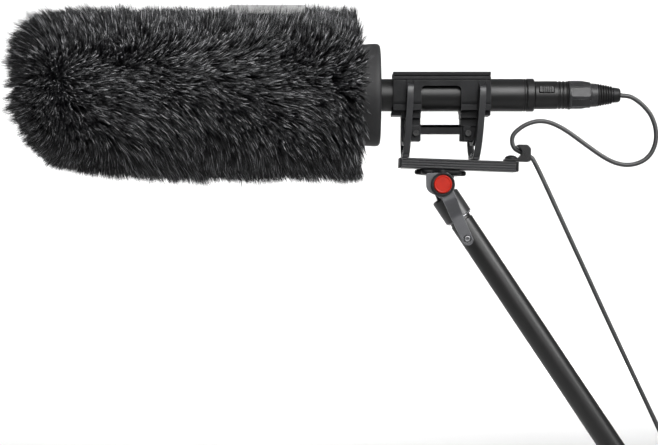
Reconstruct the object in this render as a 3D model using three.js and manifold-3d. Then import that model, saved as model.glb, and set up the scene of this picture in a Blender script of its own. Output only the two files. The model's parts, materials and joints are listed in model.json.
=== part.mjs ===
// Slip-on furry windscreen on a shotgun microphone, held by two lyre springs on a ribbed bar,
// with a lockable swivel, the top section of a boom pole and the microphone's cable.
// Millimetres, +Z up, +X towards the microphone's rear. Y = 0 is the plane of symmetry.
// Pieces are drawn from the microphone's axis (Z = 0) and the rig is then moved, so that the
// origin is the middle of the pole's lower end face.
import * as THREE from 'three';
import { mergeVertices } from 'three/addons/utils/BufferGeometryUtils.js';
import Module from 'manifold-3d';

const wasm = await Module();
wasm.setup();

// ---- driving dimensions ----
const GAP = 0.3; // clearance between neighbouring pieces

const FUR_RADIUS = 57;
const FUR_FRONT = -295;
const FUR_REAR = -57;
const FOAM_RADIUS = 36;
const FOAM_FRONT = -263;
const BORE_RADIUS = 11.6;
const BORE_END = -200;
const CAP_RADIUS = 34.6;
const CAP_FRONT = -62;
const CAP_REAR = -42.6;

const MIC_RADIUS = 11;
const MIC_FRONT = -196;
const MIC_JOINT = -58;
const MIC_REAR = 55.2;
const TUBE_RADIUS = 10.4;

const PLUG_FRONT = 61.3;
const PLUG_RADIUS = 9.45;
const GRIP_START = 83.7;
const BOOT_START = 104.1;
const BOOT_END = 119.3;
const LATCH_ANGLE = 20; // degrees above the horizontal, on the near side

const CRADLE_FRONT = -34.2;
const CRADLE_REAR = 31;
const WINDOW_FRONT = -15.5;
const WINDOW_REAR = 11;
const WINDOW_TOP = 5.2;
const CLIP_HALF_WIDTH = 13.6;
const CLIP_TOP = 9.2;
const CLIP_BOTTOM = -12.6;
const CLIP_BORE = 12.3;
const RAIL_TOP = 14.7;
const POST_BOTTOM = -31.2;

const BAR_CENTRE = new THREE.Vector3(10, 0, -47.2);
const BAR_TILT = 2.05; // degrees, down towards the rear
const BAR_HALF_LENGTH = 40.1;
const BAR_HALF_WIDTH = 9.5;
const BAR_HALF_HEIGHT = 3.45;
const END_PLUG = 1.5;
const NECK_X = -11.7; // the swivel's neck along the bar, from the bar's middle
const LYRE_FRONT_X = -35.9;
const LYRE_REAR_X = 10.7;
const CLIP_SCREW_X = 35.8;
const LYRE_WIDTH = 4.4;

const PIVOT = new THREE.Vector3(-1.8, 0, -60.7);
const POLE_ANGLE = 56.3; // degrees below the horizontal
const POLE_OFFSET = -1.8; // the pole's axis, from the pivot
const POLE_RADIUS = 8.1;
const POLE_BORE = 6.9;
const POLE_START = 26.3;
const POLE_END = 386;
const FERRULE_RADIUS = 9.7;
const FERRULE_START = 7.5;
const FERRULE_END = 25.1;

const LEVER_ANGLE = 64.8; // degrees below the horizontal
const LEVER_SCREW = 40; // from the pivot, along the lever
const CORD_RADIUS = 1.5;
const FAR_PLUG_OFFSET = 17; // the far plug's axis, from the pivot
const FAR_PLUG_START = 314;

// ---- finishes: colour, roughness, metalness ----
const FINISHES = {
  fur: [0x2a2b2e, 0.95, 0],
  foam: [0x1e1e20, 0.95, 0],
  rubber: [0x2b2c2e, 0.75, 0],
  label: [0xb2b2b0, 0.9, 0],
  blackMetal: [0x18191a, 0.4, 0.6],
  brightMetal: [0xb9bbbd, 0.3, 1],
  gold: [0xc9a24a, 0.3, 1],
  board: [0x1f4a33, 0.6, 0],
  plastic: [0x1d1e20, 0.55, 0],
  springPlastic: [0x242527, 0.6, 0],
  barMetal: [0x17181a, 0.45, 0.5],
  swivelPaint: [0x3a3b3f, 0.5, 0.4],
  red: [0xc8321f, 0.35, 0],
  pole: [0x141416, 0.25, 0.3],
  cable: [0x2b2c2e, 0.5, 0],
  strap: [0x1a1a1c, 0.9, 0],
};

// ---- solids ----
function solid(geometry) {
  const bare = new THREE.BufferGeometry();
  bare.setAttribute('position', geometry.getAttribute('position').clone());
  if (geometry.index) bare.setIndex(geometry.index.clone());
  const merged = mergeVertices(bare, 1e-4);
  const index = merged.index.array;
  const triangles = [];
  for (let i = 0; i < index.length; i += 3) {
    const [a, b, c] = [index[i], index[i + 1], index[i + 2]];
    if (a !== b && b !== c && c !== a) triangles.push([a, b, c]);
  }
  const vertProperties = merged.getAttribute('position').array;
  const build = (faces) =>
    new wasm.Manifold(new wasm.Mesh({ numProp: 3, vertProperties, triVerts: new Uint32Array(faces.flat()) }));
  const made = build(triangles);
  return made.volume() > 0 ? made : build(triangles.map(([a, b, c]) => [a, c, b]));
}

// A profile of [x, radius] points turned about the X axis. It starts and ends on the axis, or closes.
function turned(profile, segments = 24) {
  const points = profile.map(([x, radius]) => new THREE.Vector2(radius, x));
  return solid(new THREE.LatheGeometry(points, segments).rotateZ(-Math.PI / 2));
}

function disc(x0, x1, radius, segments = 24, bevel = 0.3) {
  return turned([[x0, 0], [x0, radius - bevel], [x0 + bevel, radius], [x1 - bevel, radius],
    [x1, radius - bevel], [x1, 0]], segments);
}

function ring(x0, x1, inner, outer, segments = 24) {
  return turned([[x0, inner], [x0, outer], [x1, outer], [x1, inner], [x0, inner]], segments);
}

function block(x0, x1, y0, y1, z0, z1) {
  const box = new THREE.BoxGeometry(x1 - x0, y1 - y0, z1 - z0);
  return solid(box.translate((x0 + x1) / 2, (y0 + y1) / 2, (z0 + z1) / 2));
}

function outline(points) {
  return new THREE.Shape(points.map(([a, b]) => new THREE.Vector2(a, b)));
}

function roundedBox(a0, b0, a1, b1, radius) {
  const shape = new THREE.Shape();
  shape.absarc(a1 - radius, b1 - radius, radius, 0, Math.PI / 2);
  shape.absarc(a0 + radius, b1 - radius, radius, Math.PI / 2, Math.PI);
  shape.absarc(a0 + radius, b0 + radius, radius, Math.PI, 1.5 * Math.PI);
  shape.absarc(a1 - radius, b0 + radius, radius, 1.5 * Math.PI, 2 * Math.PI);
  return shape;
}

function circle(a, b, radius) {
  return new THREE.Shape().absarc(a, b, radius, 0, 2 * Math.PI);
}

function extruded(shape, depth, curveSegments) {
  return new THREE.ExtrudeGeometry(shape, { depth, curveSegments, steps: 1, bevelEnabled: false });
}

// An outline in the XZ plane, from y0 to y1.
function slab(shape, y0, y1, curveSegments = 8) {
  return solid(extruded(shape, y1 - y0, curveSegments).rotateX(Math.PI / 2).translate(0, y1, 0));
}

// An outline in the YZ plane, from x0 to x1.
function beam(shape, x0, x1, curveSegments = 8) {
  const turn = new THREE.Matrix4().makeBasis(
    new THREE.Vector3(0, 1, 0), new THREE.Vector3(0, 0, 1), new THREE.Vector3(1, 0, 0));
  return solid(extruded(shape, x1 - x0, curveSegments).applyMatrix4(turn).translate(x0, 0, 0));
}

// An outline in the XY plane, from z0 to z1.
function column(shape, z0, z1, curveSegments = 8) {
  return solid(extruded(shape, z1 - z0, curveSegments).translate(0, 0, z0));
}

function joined(...pieces) {
  return pieces.reduce((whole, next) => whole.add(next));
}

// A band of even thickness along a smooth curve through the points, as an outline.
function strokeOutline(points, thickness, samples) {
  const curve = new THREE.SplineCurve(points.map(([a, b]) => new THREE.Vector2(a, b)));
  const left = [];
  const right = [];
  for (let i = 0; i <= samples; i++) {
    const at = curve.getPoint(i / samples);
    const along = curve.getTangent(i / samples);
    const side = new THREE.Vector2(-along.y, along.x).multiplyScalar(thickness / 2);
    left.push(at.clone().add(side));
    right.unshift(at.clone().sub(side));
  }
  return new THREE.Shape([...left, ...right]);
}

function tube(points, radius, steps) {
  const curve = new THREE.CatmullRomCurve3(points.map(([x, z]) => new THREE.Vector3(x, 0, z)));
  const section = new THREE.Shape();
  const sides = 8;
  for (let i = 0; i < sides; i++) {
    const turn = ((i + 0.5) / sides) * 2 * Math.PI;
    const [a, b] = [radius * Math.cos(turn), radius * Math.sin(turn)];
    if (i === 0) section.moveTo(a, b);
    else section.lineTo(a, b);
  }
  section.closePath();
  return solid(new THREE.ExtrudeGeometry(section, { steps, extrudePath: curve, bevelEnabled: false }));
}

// ---- the tree of groups ----
const rig = new THREE.Group();
const barFrame = new THREE.Group(); // X along the bar, Z square to it
barFrame.position.copy(BAR_CENTRE);
barFrame.rotation.y = THREE.MathUtils.degToRad(BAR_TILT);
const poleFrame = new THREE.Group(); // X along the pole from the pivot, Z square to it
poleFrame.position.copy(PIVOT);
poleFrame.rotation.y = THREE.MathUtils.degToRad(POLE_ANGLE);
const poleAxis = new THREE.Group();
poleAxis.position.z = POLE_OFFSET;
const farPlug = new THREE.Group();
farPlug.position.z = FAR_PLUG_OFFSET;
const leverFrame = new THREE.Group(); // X along the lever from the pivot
leverFrame.position.copy(PIVOT);
leverFrame.rotation.y = THREE.MathUtils.degToRad(LEVER_ANGLE);
poleFrame.add(poleAxis, farPlug);
rig.add(barFrame, poleFrame, leverFrame);

function piece(parent, name, shape, finish) {
  const [color, roughness, metalness] = FINISHES[finish];
  const made = shape.getMesh();
  const geometry = new THREE.BufferGeometry();
  geometry.setAttribute('position', new THREE.BufferAttribute(new Float32Array(made.vertProperties), 3));
  geometry.setIndex(new THREE.BufferAttribute(new Uint32Array(made.triVerts), 1));
  geometry.computeVertexNormals();
  const mesh = new THREE.Mesh(geometry, new THREE.MeshStandardMaterial({ color, roughness, metalness }));
  mesh.name = name;
  parent.add(mesh);
}

// ---- windscreen ----
function windscreen() {
  const wall = FOAM_RADIUS + 0.4;
  const fur = turned([
    [FUR_FRONT, 0], [FUR_FRONT + 0.7, 18], [FUR_FRONT + 3.5, 33], [FUR_FRONT + 10, 45],
    [FUR_FRONT + 20, 53], [FUR_FRONT + 34, FUR_RADIUS], [FUR_REAR - 6, FUR_RADIUS],
    [FUR_REAR - 1.5, 54.5], [FUR_REAR, 50], [FUR_REAR, wall], [FOAM_FRONT + 9, wall],
    [FOAM_FRONT + 4.5, wall - 3], [FOAM_FRONT - 0.6, 20], [FOAM_FRONT - 0.6, 0]], 36);
  piece(rig, 'fur_jacket', fur, 'fur');

  const foam = turned([
    [FOAM_FRONT, 0], [FOAM_FRONT, 19], [FOAM_FRONT + 5, 32.6], [FOAM_FRONT + 9.5, FOAM_RADIUS],
    [CAP_FRONT - GAP, FOAM_RADIUS], [CAP_FRONT - GAP, BORE_RADIUS], [BORE_END, BORE_RADIUS],
    [BORE_END, 0]]);
  piece(rig, 'foam_body', foam, 'foam');

  const seal = 15.4;
  const cap = turned([
    [CAP_FRONT, seal], [CAP_FRONT, CAP_RADIUS - 0.6], [CAP_FRONT + 0.6, CAP_RADIUS],
    [CAP_REAR - 3, CAP_RADIUS], [CAP_REAR - 0.9, CAP_RADIUS - 0.8], [CAP_REAR, CAP_RADIUS - 2.6],
    [CAP_REAR, seal], [CAP_FRONT, seal]], 36);
  piece(rig, 'rear_cap', cap, 'rubber');
  piece(rig, 'mic_seal', ring(CAP_FRONT + 1, CAP_REAR - 0.8, MIC_RADIUS + 0.4, seal - GAP), 'rubber');

  // The label lies over the crown of the jacket, towards its near side.
  const label = new THREE.Shape();
  const [from, to] = [0.36, 0.62].map((turns) => Math.PI * turns);
  label.absarc(0, 0, FUR_RADIUS + 1.8, from, to);
  label.absarc(0, 0, FUR_RADIUS + 0.5, to, from, true);
  piece(rig, 'label_tab', beam(label, -144, -93, 10), 'label');
}

// ---- microphone ----
const PIN_CIRCLE = 3.6;
const PIN_ANGLES = [90, 210, 330].map(THREE.MathUtils.degToRad);

function pins(x0, x1, radius) {
  return PIN_ANGLES.map((turn) => {
    const section = circle(PIN_CIRCLE * Math.cos(turn), PIN_CIRCLE * Math.sin(turn), radius);
    return beam(section, x0, x1, 3);
  });
}

function microphone() {
  const slots = [];
  for (let i = 0; i < 8; i++) {
    const x = MIC_FRONT + 8 + i * 15.4;
    slots.push(block(x, x + 11, -12, 12, -1, 1));
  }
  const slotted = ring(MIC_FRONT, MIC_JOINT - GAP, 9.2, TUBE_RADIUS, 20).subtract(joined(...slots));
  piece(rig, 'interference_tube', slotted, 'blackMetal');
  piece(rig, 'front_grille', disc(MIC_FRONT - 2.6, MIC_FRONT - GAP, TUBE_RADIUS, 20, 0.8), 'blackMetal');
  piece(rig, 'capsule', disc(MIC_JOINT - 16, MIC_JOINT - 3, 8.6, 16, 0.6), 'brightMetal');
  piece(rig, 'mic_body', ring(MIC_JOINT, MIC_REAR, 9.6, MIC_RADIUS, 28), 'blackMetal');
  piece(rig, 'circuit_board', block(MIC_JOINT + 12, 38, -8, 8, -0.8, 0.8), 'board');

  const collar = turned([
    [MIC_REAR + GAP, 9.1], [MIC_REAR + GAP, 11.2], [56.6, 11.2], [56.9, 11.5], [60.4, 11.5],
    [61, 10.9], [61, 9.1], [MIC_REAR + GAP, 9.1]], 28);
  piece(rig, 'mic_collar', collar, 'blackMetal');
  piece(rig, 'pin_insert', joined(disc(42, 46, 9.2, 16), ...pins(45, 58, 0.9)), 'gold');
}

// ---- cable plug on the microphone ----
function latchPlace(shape) {
  return shape.rotate([LATCH_ANGLE * -1, 0, 0]);
}

function nearPlug() {
  const nose = 8.7;
  const inner = 7.5;
  const groove = PLUG_RADIUS - 0.4;
  const shell = turned([
    [49, inner], [49, nose - 0.5], [49.5, nose], [PLUG_FRONT, nose], [PLUG_FRONT, PLUG_RADIUS],
    [77, PLUG_RADIUS], [77.3, groove], [81.5, groove], [81.8, PLUG_RADIUS], [GRIP_START - GAP, PLUG_RADIUS],
    [GRIP_START - GAP, inner], [49, inner]]);
  const window = latchPlace(block(63.6, 74, -12, -5, -2.5, 2.5));
  piece(rig, 'plug_shell', shell.subtract(window), 'blackMetal');
  piece(rig, 'plug_insert', disc(50, 60, inner - GAP, 16).subtract(joined(...pins(49, 61, 1.3))), 'plastic');
  piece(rig, 'latch_button', latchPlace(block(64, 73.6, -9.9, -7.9, -2.1, 2.1)), 'blackMetal');

  const hollow = 6.5;
  const body = turned([
    [GRIP_START, hollow], [GRIP_START, 9.2], [GRIP_START + 0.6, 9.7], [93.5, 9.7], [99.2, 8.6],
    [99.6, 8], [103.4, 7.9], [BOOT_START - GAP, 7.6], [BOOT_START - GAP, hollow], [GRIP_START, hollow]]);
  const flats = [];
  const count = 7;
  for (let i = 0; i < count; i++) {
    const flat = block(GRIP_START + 2, 98, -2.8, 2.8, 8.4, 12);
    flats.push(flat.rotate([80 + (i * 360) / count, 0, 0]));
  }
  piece(rig, 'plug_grip', body.subtract(joined(...flats)), 'plastic');
  piece(rig, 'plug_boot', boot(BOOT_START, BOOT_END, 7.6), 'rubber');
}

// A ribbed strain relief that narrows from its base at x0 to the cable's outlet at x1.
function boot(x0, x1, base) {
  const ribs = 4;
  const ribbed = (x1 - x0) * 0.68;
  const hole = CORD_RADIUS + GAP;
  const profile = [[x0, hole]];
  for (let i = 0; i < ribs; i++) {
    const x = x0 + (ribbed * i) / ribs;
    const radius = base - 0.32 * i;
    profile.push([x, radius], [x + ribbed * 0.11, radius], [x + ribbed * 0.15, radius - 1]);
  }
  profile.push([x0 + ribbed, 4.9], [x1 - 0.6, 4.8], [x1, 4.2], [x1, hole], [x0, hole]);
  return turned(profile, 12);
}

// ---- cradle ----
function cradle() {
  const section = roundedBox(-CLIP_HALF_WIDTH, CLIP_BOTTOM, CLIP_HALF_WIDTH, 16, 8);
  const lip = block(CRADLE_FRONT, CRADLE_REAR, -14.2, 14.2, -11.1, -7.4);
  const sleeve = joined(beam(section, CRADLE_FRONT, CRADLE_REAR, 4), lip);
  const above = block(-60, 60, -30, 30, CLIP_TOP, 30);
  const bore = disc(-60, 60, CLIP_BORE, 32);
  const window = slab(roundedBox(WINDOW_FRONT, -20, WINDOW_REAR, WINDOW_TOP, 2.5), -30, 30, 4);
  const clips = sleeve.subtract(above).subtract(window).subtract(bore);

  const posts = joined(
    block(-28.5, -15.6, -9, 9, -16, CLIP_BOTTOM + 2), block(-28.5, -15.6, -5, 5, -21.4, -15),
    block(-28.5, -21.9, -4, 4, POST_BOTTOM, -21), block(-21.9, -15.6, -6.5, 6.5, POST_BOTTOM, -21),
    block(11.1, 24.5, -9, 9, -16, CLIP_BOTTOM + 2), block(11.1, 24.5, -5, 5, -21.4, -15),
    block(11.1, 24.5, -4, 4, POST_BOTTOM, -21), block(13, 18, -6.5, 6.5, POST_BOTTOM, -21),
    block(-16, 11.5, -4, 4, -26.4, -20.1));
  const lips = joined(
    block(-35.2, -28, -8, 8, -14.2, CLIP_BOTTOM + 1.2), block(24, 31.2, -8, 8, -14.2, CLIP_BOTTOM + 1.2));
  const crossHoles = joined(...[-18.7, 16.2].map((x) => slab(circle(x, -26, 1.5), -8, 8, 5)));
  const frame = joined(clips, posts.subtract(bore), lips.subtract(bore)).subtract(crossHoles);
  piece(rig, 'cradle_frame', frame, 'plastic');

  for (const [name, x0, x1] of [['front', CRADLE_FRONT, WINDOW_FRONT], ['rear', WINDOW_REAR, CRADLE_REAR]]) {
    const liner = ring(x0 + GAP, x1 - GAP, MIC_RADIUS + GAP, CLIP_BORE - GAP);
    piece(rig, `clip_liner_${name}`, liner, 'rubber');
  }

  const railSide = [
    [13.2, CLIP_TOP + GAP], [13.2, 11.1], [11.6, 11.3], [11.6, 12.4], [12.6, 12.6], [12.6, RAIL_TOP],
    [4.6, RAIL_TOP], [4.6, RAIL_TOP - 1.3]];
  const railSection = outline([...railSide, ...railSide.map(([y, z]) => [-y, z]).reverse()]);
  piece(rig, 'top_rail', beam(railSection, CRADLE_FRONT, CRADLE_REAR).subtract(bore), 'plastic');

  for (const [name, x] of [['front', -18.7], ['rear', 16.2]]) {
    const screw = joined(slab(circle(x, -26, 2.4), -8.3, -6.8), slab(circle(x, -26, 1.2), -7, 6, 5));
    piece(rig, `cradle_screw_${name}`, screw.subtract(slab(hexagon(x, -26, 1.2), -8.6, -7.6)), 'blackMetal');
  }
}

function hexagon(a, b, radius) {
  const corners = [0, 1, 2, 3, 4, 5].map((i) => (i * Math.PI) / 3);
  return outline(corners.map((turn) => [a + radius * Math.cos(turn), b + radius * Math.sin(turn)]));
}

// The cord's way through the clip, in the bar's frame.
const CLIP_PASSAGE = [[37.9, 12.7], [41.5, 10.5], [43.9, 9.5], [45.5, 8.9], [48.8, 7.2], [51.5, 4.2]];

// ---- suspension ----
// A lyre is one bent strip: two outer arms rise from its foot, fold over at the top, and come down
// inside to the pad that carries the cradle.
function lyre(name, x, top, padTop, twist) {
  const foot = BAR_HALF_HEIGHT + GAP;
  const [x0, x1] = [-LYRE_WIDTH / 2, LYRE_WIDTH / 2];
  const thick = 2.3;
  const arm = (side) => strokeOutline([
    [side * 6.2, foot + 1.6], [side * 10.6, foot + 6], [side * 15.2, 20], [side * 18.6, 35],
    [side * 20.2, top - 7], [side * 19.9, top - 2], [side * 18.2, top - 0.4],
    [side * 16.9, top - 2.4], [side * 16.4, top - 9], [side * 15.8, 32], [side * 11.5, padTop + 6],
    [side * 4, padTop - 1.3]], thick, 20);
  const pads = joined(
    block(x0, x1, -8.4, 8.4, foot, foot + 2.6), block(x0, x1, -5, 5, padTop - 2.5, padTop));
  const strip = joined(pads, beam(arm(1), x0, x1), beam(arm(-1), x0, x1));
  const screwHole = column(circle(0, 0, 1.7), 0, foot + 4);
  const placed = strip.subtract(screwHole).rotate([0, 0, twist]).translate([x, 0, 0]);
  piece(barFrame, `lyre_${name}`, placed, 'springPlastic');

  const head = disc(foot + 2.6 + GAP, foot + 4.6, 2.3, 12, 0.6).rotate([0, -90, 0]).translate([x, 0, 0]);
  const shank = column(circle(x, 0, 1.3), 1, foot + 3.4, 4);
  piece(barFrame, `lyre_screw_${name}`, joined(head, shank), 'brightMetal');
}

function bar() {
  const [w, h] = [BAR_HALF_WIDTH, BAR_HALF_HEIGHT];
  const side = [[w - 0.5, -h], [w, -h + 0.5]];
  for (const z of [-1.7, 0, 1.7]) {
    side.push([w, z - 0.35], [w - 0.4, z], [w, z + 0.35]);
  }
  side.push([w, h - 0.5], [w - 0.5, h]);
  const groove = [[2.4, h], [2.4, h - 0.5], [-2.4, h - 0.5], [-2.4, h]];
  const mirrored = side.map(([y, z]) => [-y, z]).reverse();
  const end = BAR_HALF_LENGTH - END_PLUG - GAP;
  const holes = joined(
    column(circle(NECK_X, 0, 4.3), -5, 1.5), column(circle(LYRE_FRONT_X, 0, 1.6), 0.6, 5, 6),
    column(circle(LYRE_REAR_X, 0, 1.6), 0.6, 5, 6), column(circle(CLIP_SCREW_X, 0, 1.6), 0.6, 5, 6));
  const body = beam(outline([...side, ...groove, ...mirrored]), -end, end).subtract(holes);
  piece(barFrame, 'bar', body, 'barMetal');
  for (const [name, x] of [['front', -BAR_HALF_LENGTH], ['rear', BAR_HALF_LENGTH - END_PLUG]]) {
    const plug = beam(roundedBox(-w + 0.2, -h + 0.2, w - 0.2, h - 0.2, 0.8), x, x + END_PLUG, 3);
    piece(barFrame, `bar_end_${name}`, plug, 'plastic');
  }
}

function cableClip() {
  const base = BAR_HALF_HEIGHT + GAP;
  const hook = outline([
    [30.8, base], [47.6, base], [48.6, base + 1], [48.6, 12.8], [46.2, 15.3], [40, 15.2], [38.8, 14.4],
    [41, 12.6], [42.2, 10.8], [42.4, 9.2], [41.6, 7.6], [40.2, 6.4], [40.2, base + 1.6], [30.8, base + 1.6]]);
  const screwHole = column(circle(CLIP_SCREW_X, 0, 1.7), 0, 9, 6);
  const cordHole = tube(CLIP_PASSAGE, CORD_RADIUS + 0.7, 12);
  const shape = slab(hook, -4.4, 4.4).subtract(screwHole).subtract(cordHole);
  piece(barFrame, 'cable_clip', shape, 'plastic');
  const dome = turned([[5.5, 0], [5.5, 4.4], [6.3, 4.2], [7.3, 3.1], [7.9, 1.4], [7.9, 0]], 16);
  const shank = column(circle(CLIP_SCREW_X, 0, 1.3), 1, 5.7, 6);
  const head = dome.rotate([0, -90, 0]).translate([CLIP_SCREW_X, 0, 0]);
  piece(barFrame, 'clip_screw', joined(head, shank), 'blackMetal');
}

// ---- swivel ----
const PIVOT_IN_BAR = PIVOT.clone().sub(BAR_CENTRE)
  .applyAxisAngle(new THREE.Vector3(0, 1, 0), THREE.MathUtils.degToRad(-BAR_TILT));
const RING_TOP = -BAR_HALF_HEIGHT - GAP;
const RING_BOTTOM = -7.4;
const NECK_RADIUS = 8.6;
const TONGUE_HALF = 4;
const CHEEK_INNER = 5.1;
const CHEEK_OUTER = 9.2;
const BOLT_RADIUS = 2.9;

function lockRing() {
  const lobes = 8;
  const shape = new THREE.Shape();
  const steps = lobes * 6;
  for (let i = 0; i < steps; i++) {
    const turn = (i / steps) * 2 * Math.PI;
    const radius = 16.1 + 1.3 * Math.cos(lobes * turn);
    const [a, b] = [NECK_X + radius * Math.cos(turn), radius * Math.sin(turn)];
    if (i === 0) shape.moveTo(a, b);
    else shape.lineTo(a, b);
  }
  shape.closePath();
  shape.holes.push(circle(NECK_X, 0, NECK_RADIUS + GAP));
  piece(barFrame, 'lock_ring', column(shape, RING_BOTTOM, RING_TOP - 0.1, 10), 'plastic');
}

function swivelHead() {
  const [px, pz] = [PIVOT_IN_BAR.x, PIVOT_IN_BAR.z];
  const top = RING_BOTTOM - GAP;
  const neck = column(circle(NECK_X, 0, NECK_RADIUS), top - 1, RING_TOP, 10);
  const flange = block(px - 9, px + 8.4, -CHEEK_OUTER, CHEEK_OUTER, top - 1.6, top);
  const cheekShape = new THREE.Shape().absarc(px, pz, 7.2, Math.PI, 2 * Math.PI);
  cheekShape.lineTo(px + 7.2, top - 0.5);
  cheekShape.lineTo(px - 7.2, top - 0.5);
  const cheeks = joined(
    slab(cheekShape, -CHEEK_OUTER, -CHEEK_INNER, 12), slab(cheekShape, CHEEK_INNER, CHEEK_OUTER, 12));
  const slot = joined(
    slab(circle(px, pz, 6.2), -CHEEK_INNER, CHEEK_INNER, 12),
    block(px - 12, px + 12, -CHEEK_INNER, CHEEK_INNER, pz - 9, pz));
  const holes = joined(
    slab(circle(px, pz, BOLT_RADIUS + GAP), -12, 12), column(circle(NECK_X, 0, 4.3), -7.1, 0));
  piece(barFrame, 'swivel_head', joined(neck, flange, cheeks).subtract(slot).subtract(holes), 'swivelPaint');
  piece(barFrame, 'mount_stud', column(circle(NECK_X, 0, 4), -6.8, 1.2), 'brightMetal');
}

function lever() {
  // Seen from the side: a fan-shaped head over the pivot and a tapering arm.
  const head = new THREE.Shape();
  head.moveTo(-11, 7.4);
  head.lineTo(-11, -1.6);
  head.quadraticCurveTo(-10.4, -5, -7, -6.4);
  head.quadraticCurveTo(-3.4, -7.6, -1.6, -9.6);
  head.lineTo(8.2, -3);
  head.absarc(0, 0, 8.2, -0.35, 1.1);
  head.lineTo(3, 7.8);
  const fan = slab(head, -40, 0, 6).rotate([0, -LEVER_ANGLE, 0]);
  const arm = new THREE.Shape();
  arm.moveTo(4, 4.9);
  arm.lineTo(4, -4.9);
  arm.lineTo(14, -4.3);
  arm.lineTo(LEVER_SCREW + 1, -3.6);
  arm.absarc(LEVER_SCREW + 1, 0, 3.6, -Math.PI / 2, Math.PI / 2);
  arm.lineTo(14, 4.4);
  // Seen from above: the arm is cranked inwards, so that it lies close to the pole.
  const crank = outline([
    [-15, -18.2], [12, -18.2], [21, -10.3], [50, -10.3], [50, -13.1], [22, -13.1], [13, -21], [-15, -21]]);
  const strip = column(crank, -20, 20);
  const hub = slab(circle(0, 0, 5.4), -18.5, -9.9, 8);
  const bolt = slab(circle(0, 0, BOLT_RADIUS + GAP), -16, 0, 8);
  const screwHole = slab(circle(LEVER_SCREW, 0, 2.5), -20, 0, 6);
  const plate = joined(fan, slab(arm, -40, 0, 6)).intersect(strip);
  piece(leverFrame, 'lock_lever', joined(plate, hub).subtract(bolt).subtract(screwHole), 'swivelPaint');

  const faceY = -21.3;
  const boss = turned([[0, 6.5], [0, 7.9], [0.9, 7.9], [1.3, 7.4], [1.3, 6.5], [0, 6.5]]);
  const cap = turned([[0, 0], [0, 6.2], [2, 6.2], [2.5, 5.8], [2.6, 5.2], [2.6, 0]]);
  const outward = (shape) => shape.rotate([0, 0, -90]).translate([0, faceY, 0]);
  piece(leverFrame, 'lever_boss', outward(boss), 'plastic');
  piece(leverFrame, 'red_cap', outward(cap), 'red');
  const screw = turned([[0, 0], [0, 1.4], [1.2, 2.2], [3.4, 2.2], [3.8, 1.9], [3.8, 0]], 14);
  const socket = slab(hexagon(LEVER_SCREW, 0, 1.2), -16, -12.6);
  const placed = screw.rotate([0, 0, -90]).translate([LEVER_SCREW, -10.3, 0]);
  piece(leverFrame, 'lever_screw', placed.subtract(socket), 'brightMetal');
}

// ---- pole ----
function pole() {
  const tongueShape = new THREE.Shape().absarc(0, -POLE_OFFSET, 5.9, Math.PI / 2, 1.5 * Math.PI);
  tongueShape.lineTo(FERRULE_START + 1, -6);
  tongueShape.lineTo(FERRULE_START + 1, 6.2);
  const tongue = slab(tongueShape, -TONGUE_HALF, TONGUE_HALF, 12);
  const spigot = POLE_BORE - 0.4;
  const ferrule = turned([
    [FERRULE_START, 0], [FERRULE_START, FERRULE_RADIUS - 1], [FERRULE_START + 1, FERRULE_RADIUS],
    [FERRULE_END - 0.4, FERRULE_RADIUS], [FERRULE_END, FERRULE_RADIUS - 0.4], [FERRULE_END, spigot],
    [42, spigot], [43, spigot - 1], [43, 0]], 28);
  const boltHole = slab(circle(0, -POLE_OFFSET, BOLT_RADIUS + GAP), -20, 20);
  piece(poleAxis, 'pole_socket', joined(tongue, ferrule).subtract(boltHole), 'swivelPaint');
  const groove = ring(FERRULE_END + GAP, FERRULE_END + 0.9, spigot + GAP, 8.9);
  piece(poleAxis, 'groove_ring', groove, 'brightMetal');

  const capStart = POLE_END - 6;
  piece(poleAxis, 'pole_tube', ring(POLE_START, capStart - GAP, POLE_BORE, POLE_RADIUS, 28), 'pole');
  const cap = turned([
    [capStart - 14, 0], [capStart - 14, 5.6], [capStart - 13, spigot], [capStart, spigot],
    [capStart, 8.6], [capStart + 0.6, 9.2], [POLE_END - 0.8, 9.2], [POLE_END, 8.4], [POLE_END, 0]], 28);
  piece(poleAxis, 'pole_end_cap', cap, 'plastic');

  piece(poleFrame, 'pivot_bolt', slab(circle(0, 0, BOLT_RADIUS), -15.6, 14.2, 8), 'brightMetal');
  const nut = slab(hexagon(0, 0, 5.6), CHEEK_OUTER + GAP, 13.4);
  piece(poleFrame, 'pivot_nut', nut.subtract(slab(circle(0, 0, BOLT_RADIUS + GAP), 0, 20, 8)), 'blackMetal');
  for (const [name, y] of [['near', -CHEEK_INNER], ['far', TONGUE_HALF]]) {
    const shape = circle(0, 0, 5.2);
    shape.holes.push(circle(0, 0, BOLT_RADIUS + GAP));
    piece(poleFrame, `friction_washer_${name}`, slab(shape, y + 0.25, y + 0.85, 8), 'brightMetal');
  }
}

// The loop around the pole and a plug beside it: two arcs joined by their outer tangents.
function beltShape(poleRadius, plugRadius, spread) {
  const apart = FAR_PLUG_OFFSET - POLE_OFFSET;
  const lean = Math.acos((poleRadius - plugRadius) / apart);
  const up = Math.PI / 2;
  const shape = new THREE.Shape();
  shape.absarc(0, POLE_OFFSET, poleRadius + spread, up + lean, up + 2 * Math.PI - lean);
  shape.absarc(0, FAR_PLUG_OFFSET, plugRadius + spread, up - lean, up + lean);
  return shape;
}

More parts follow.
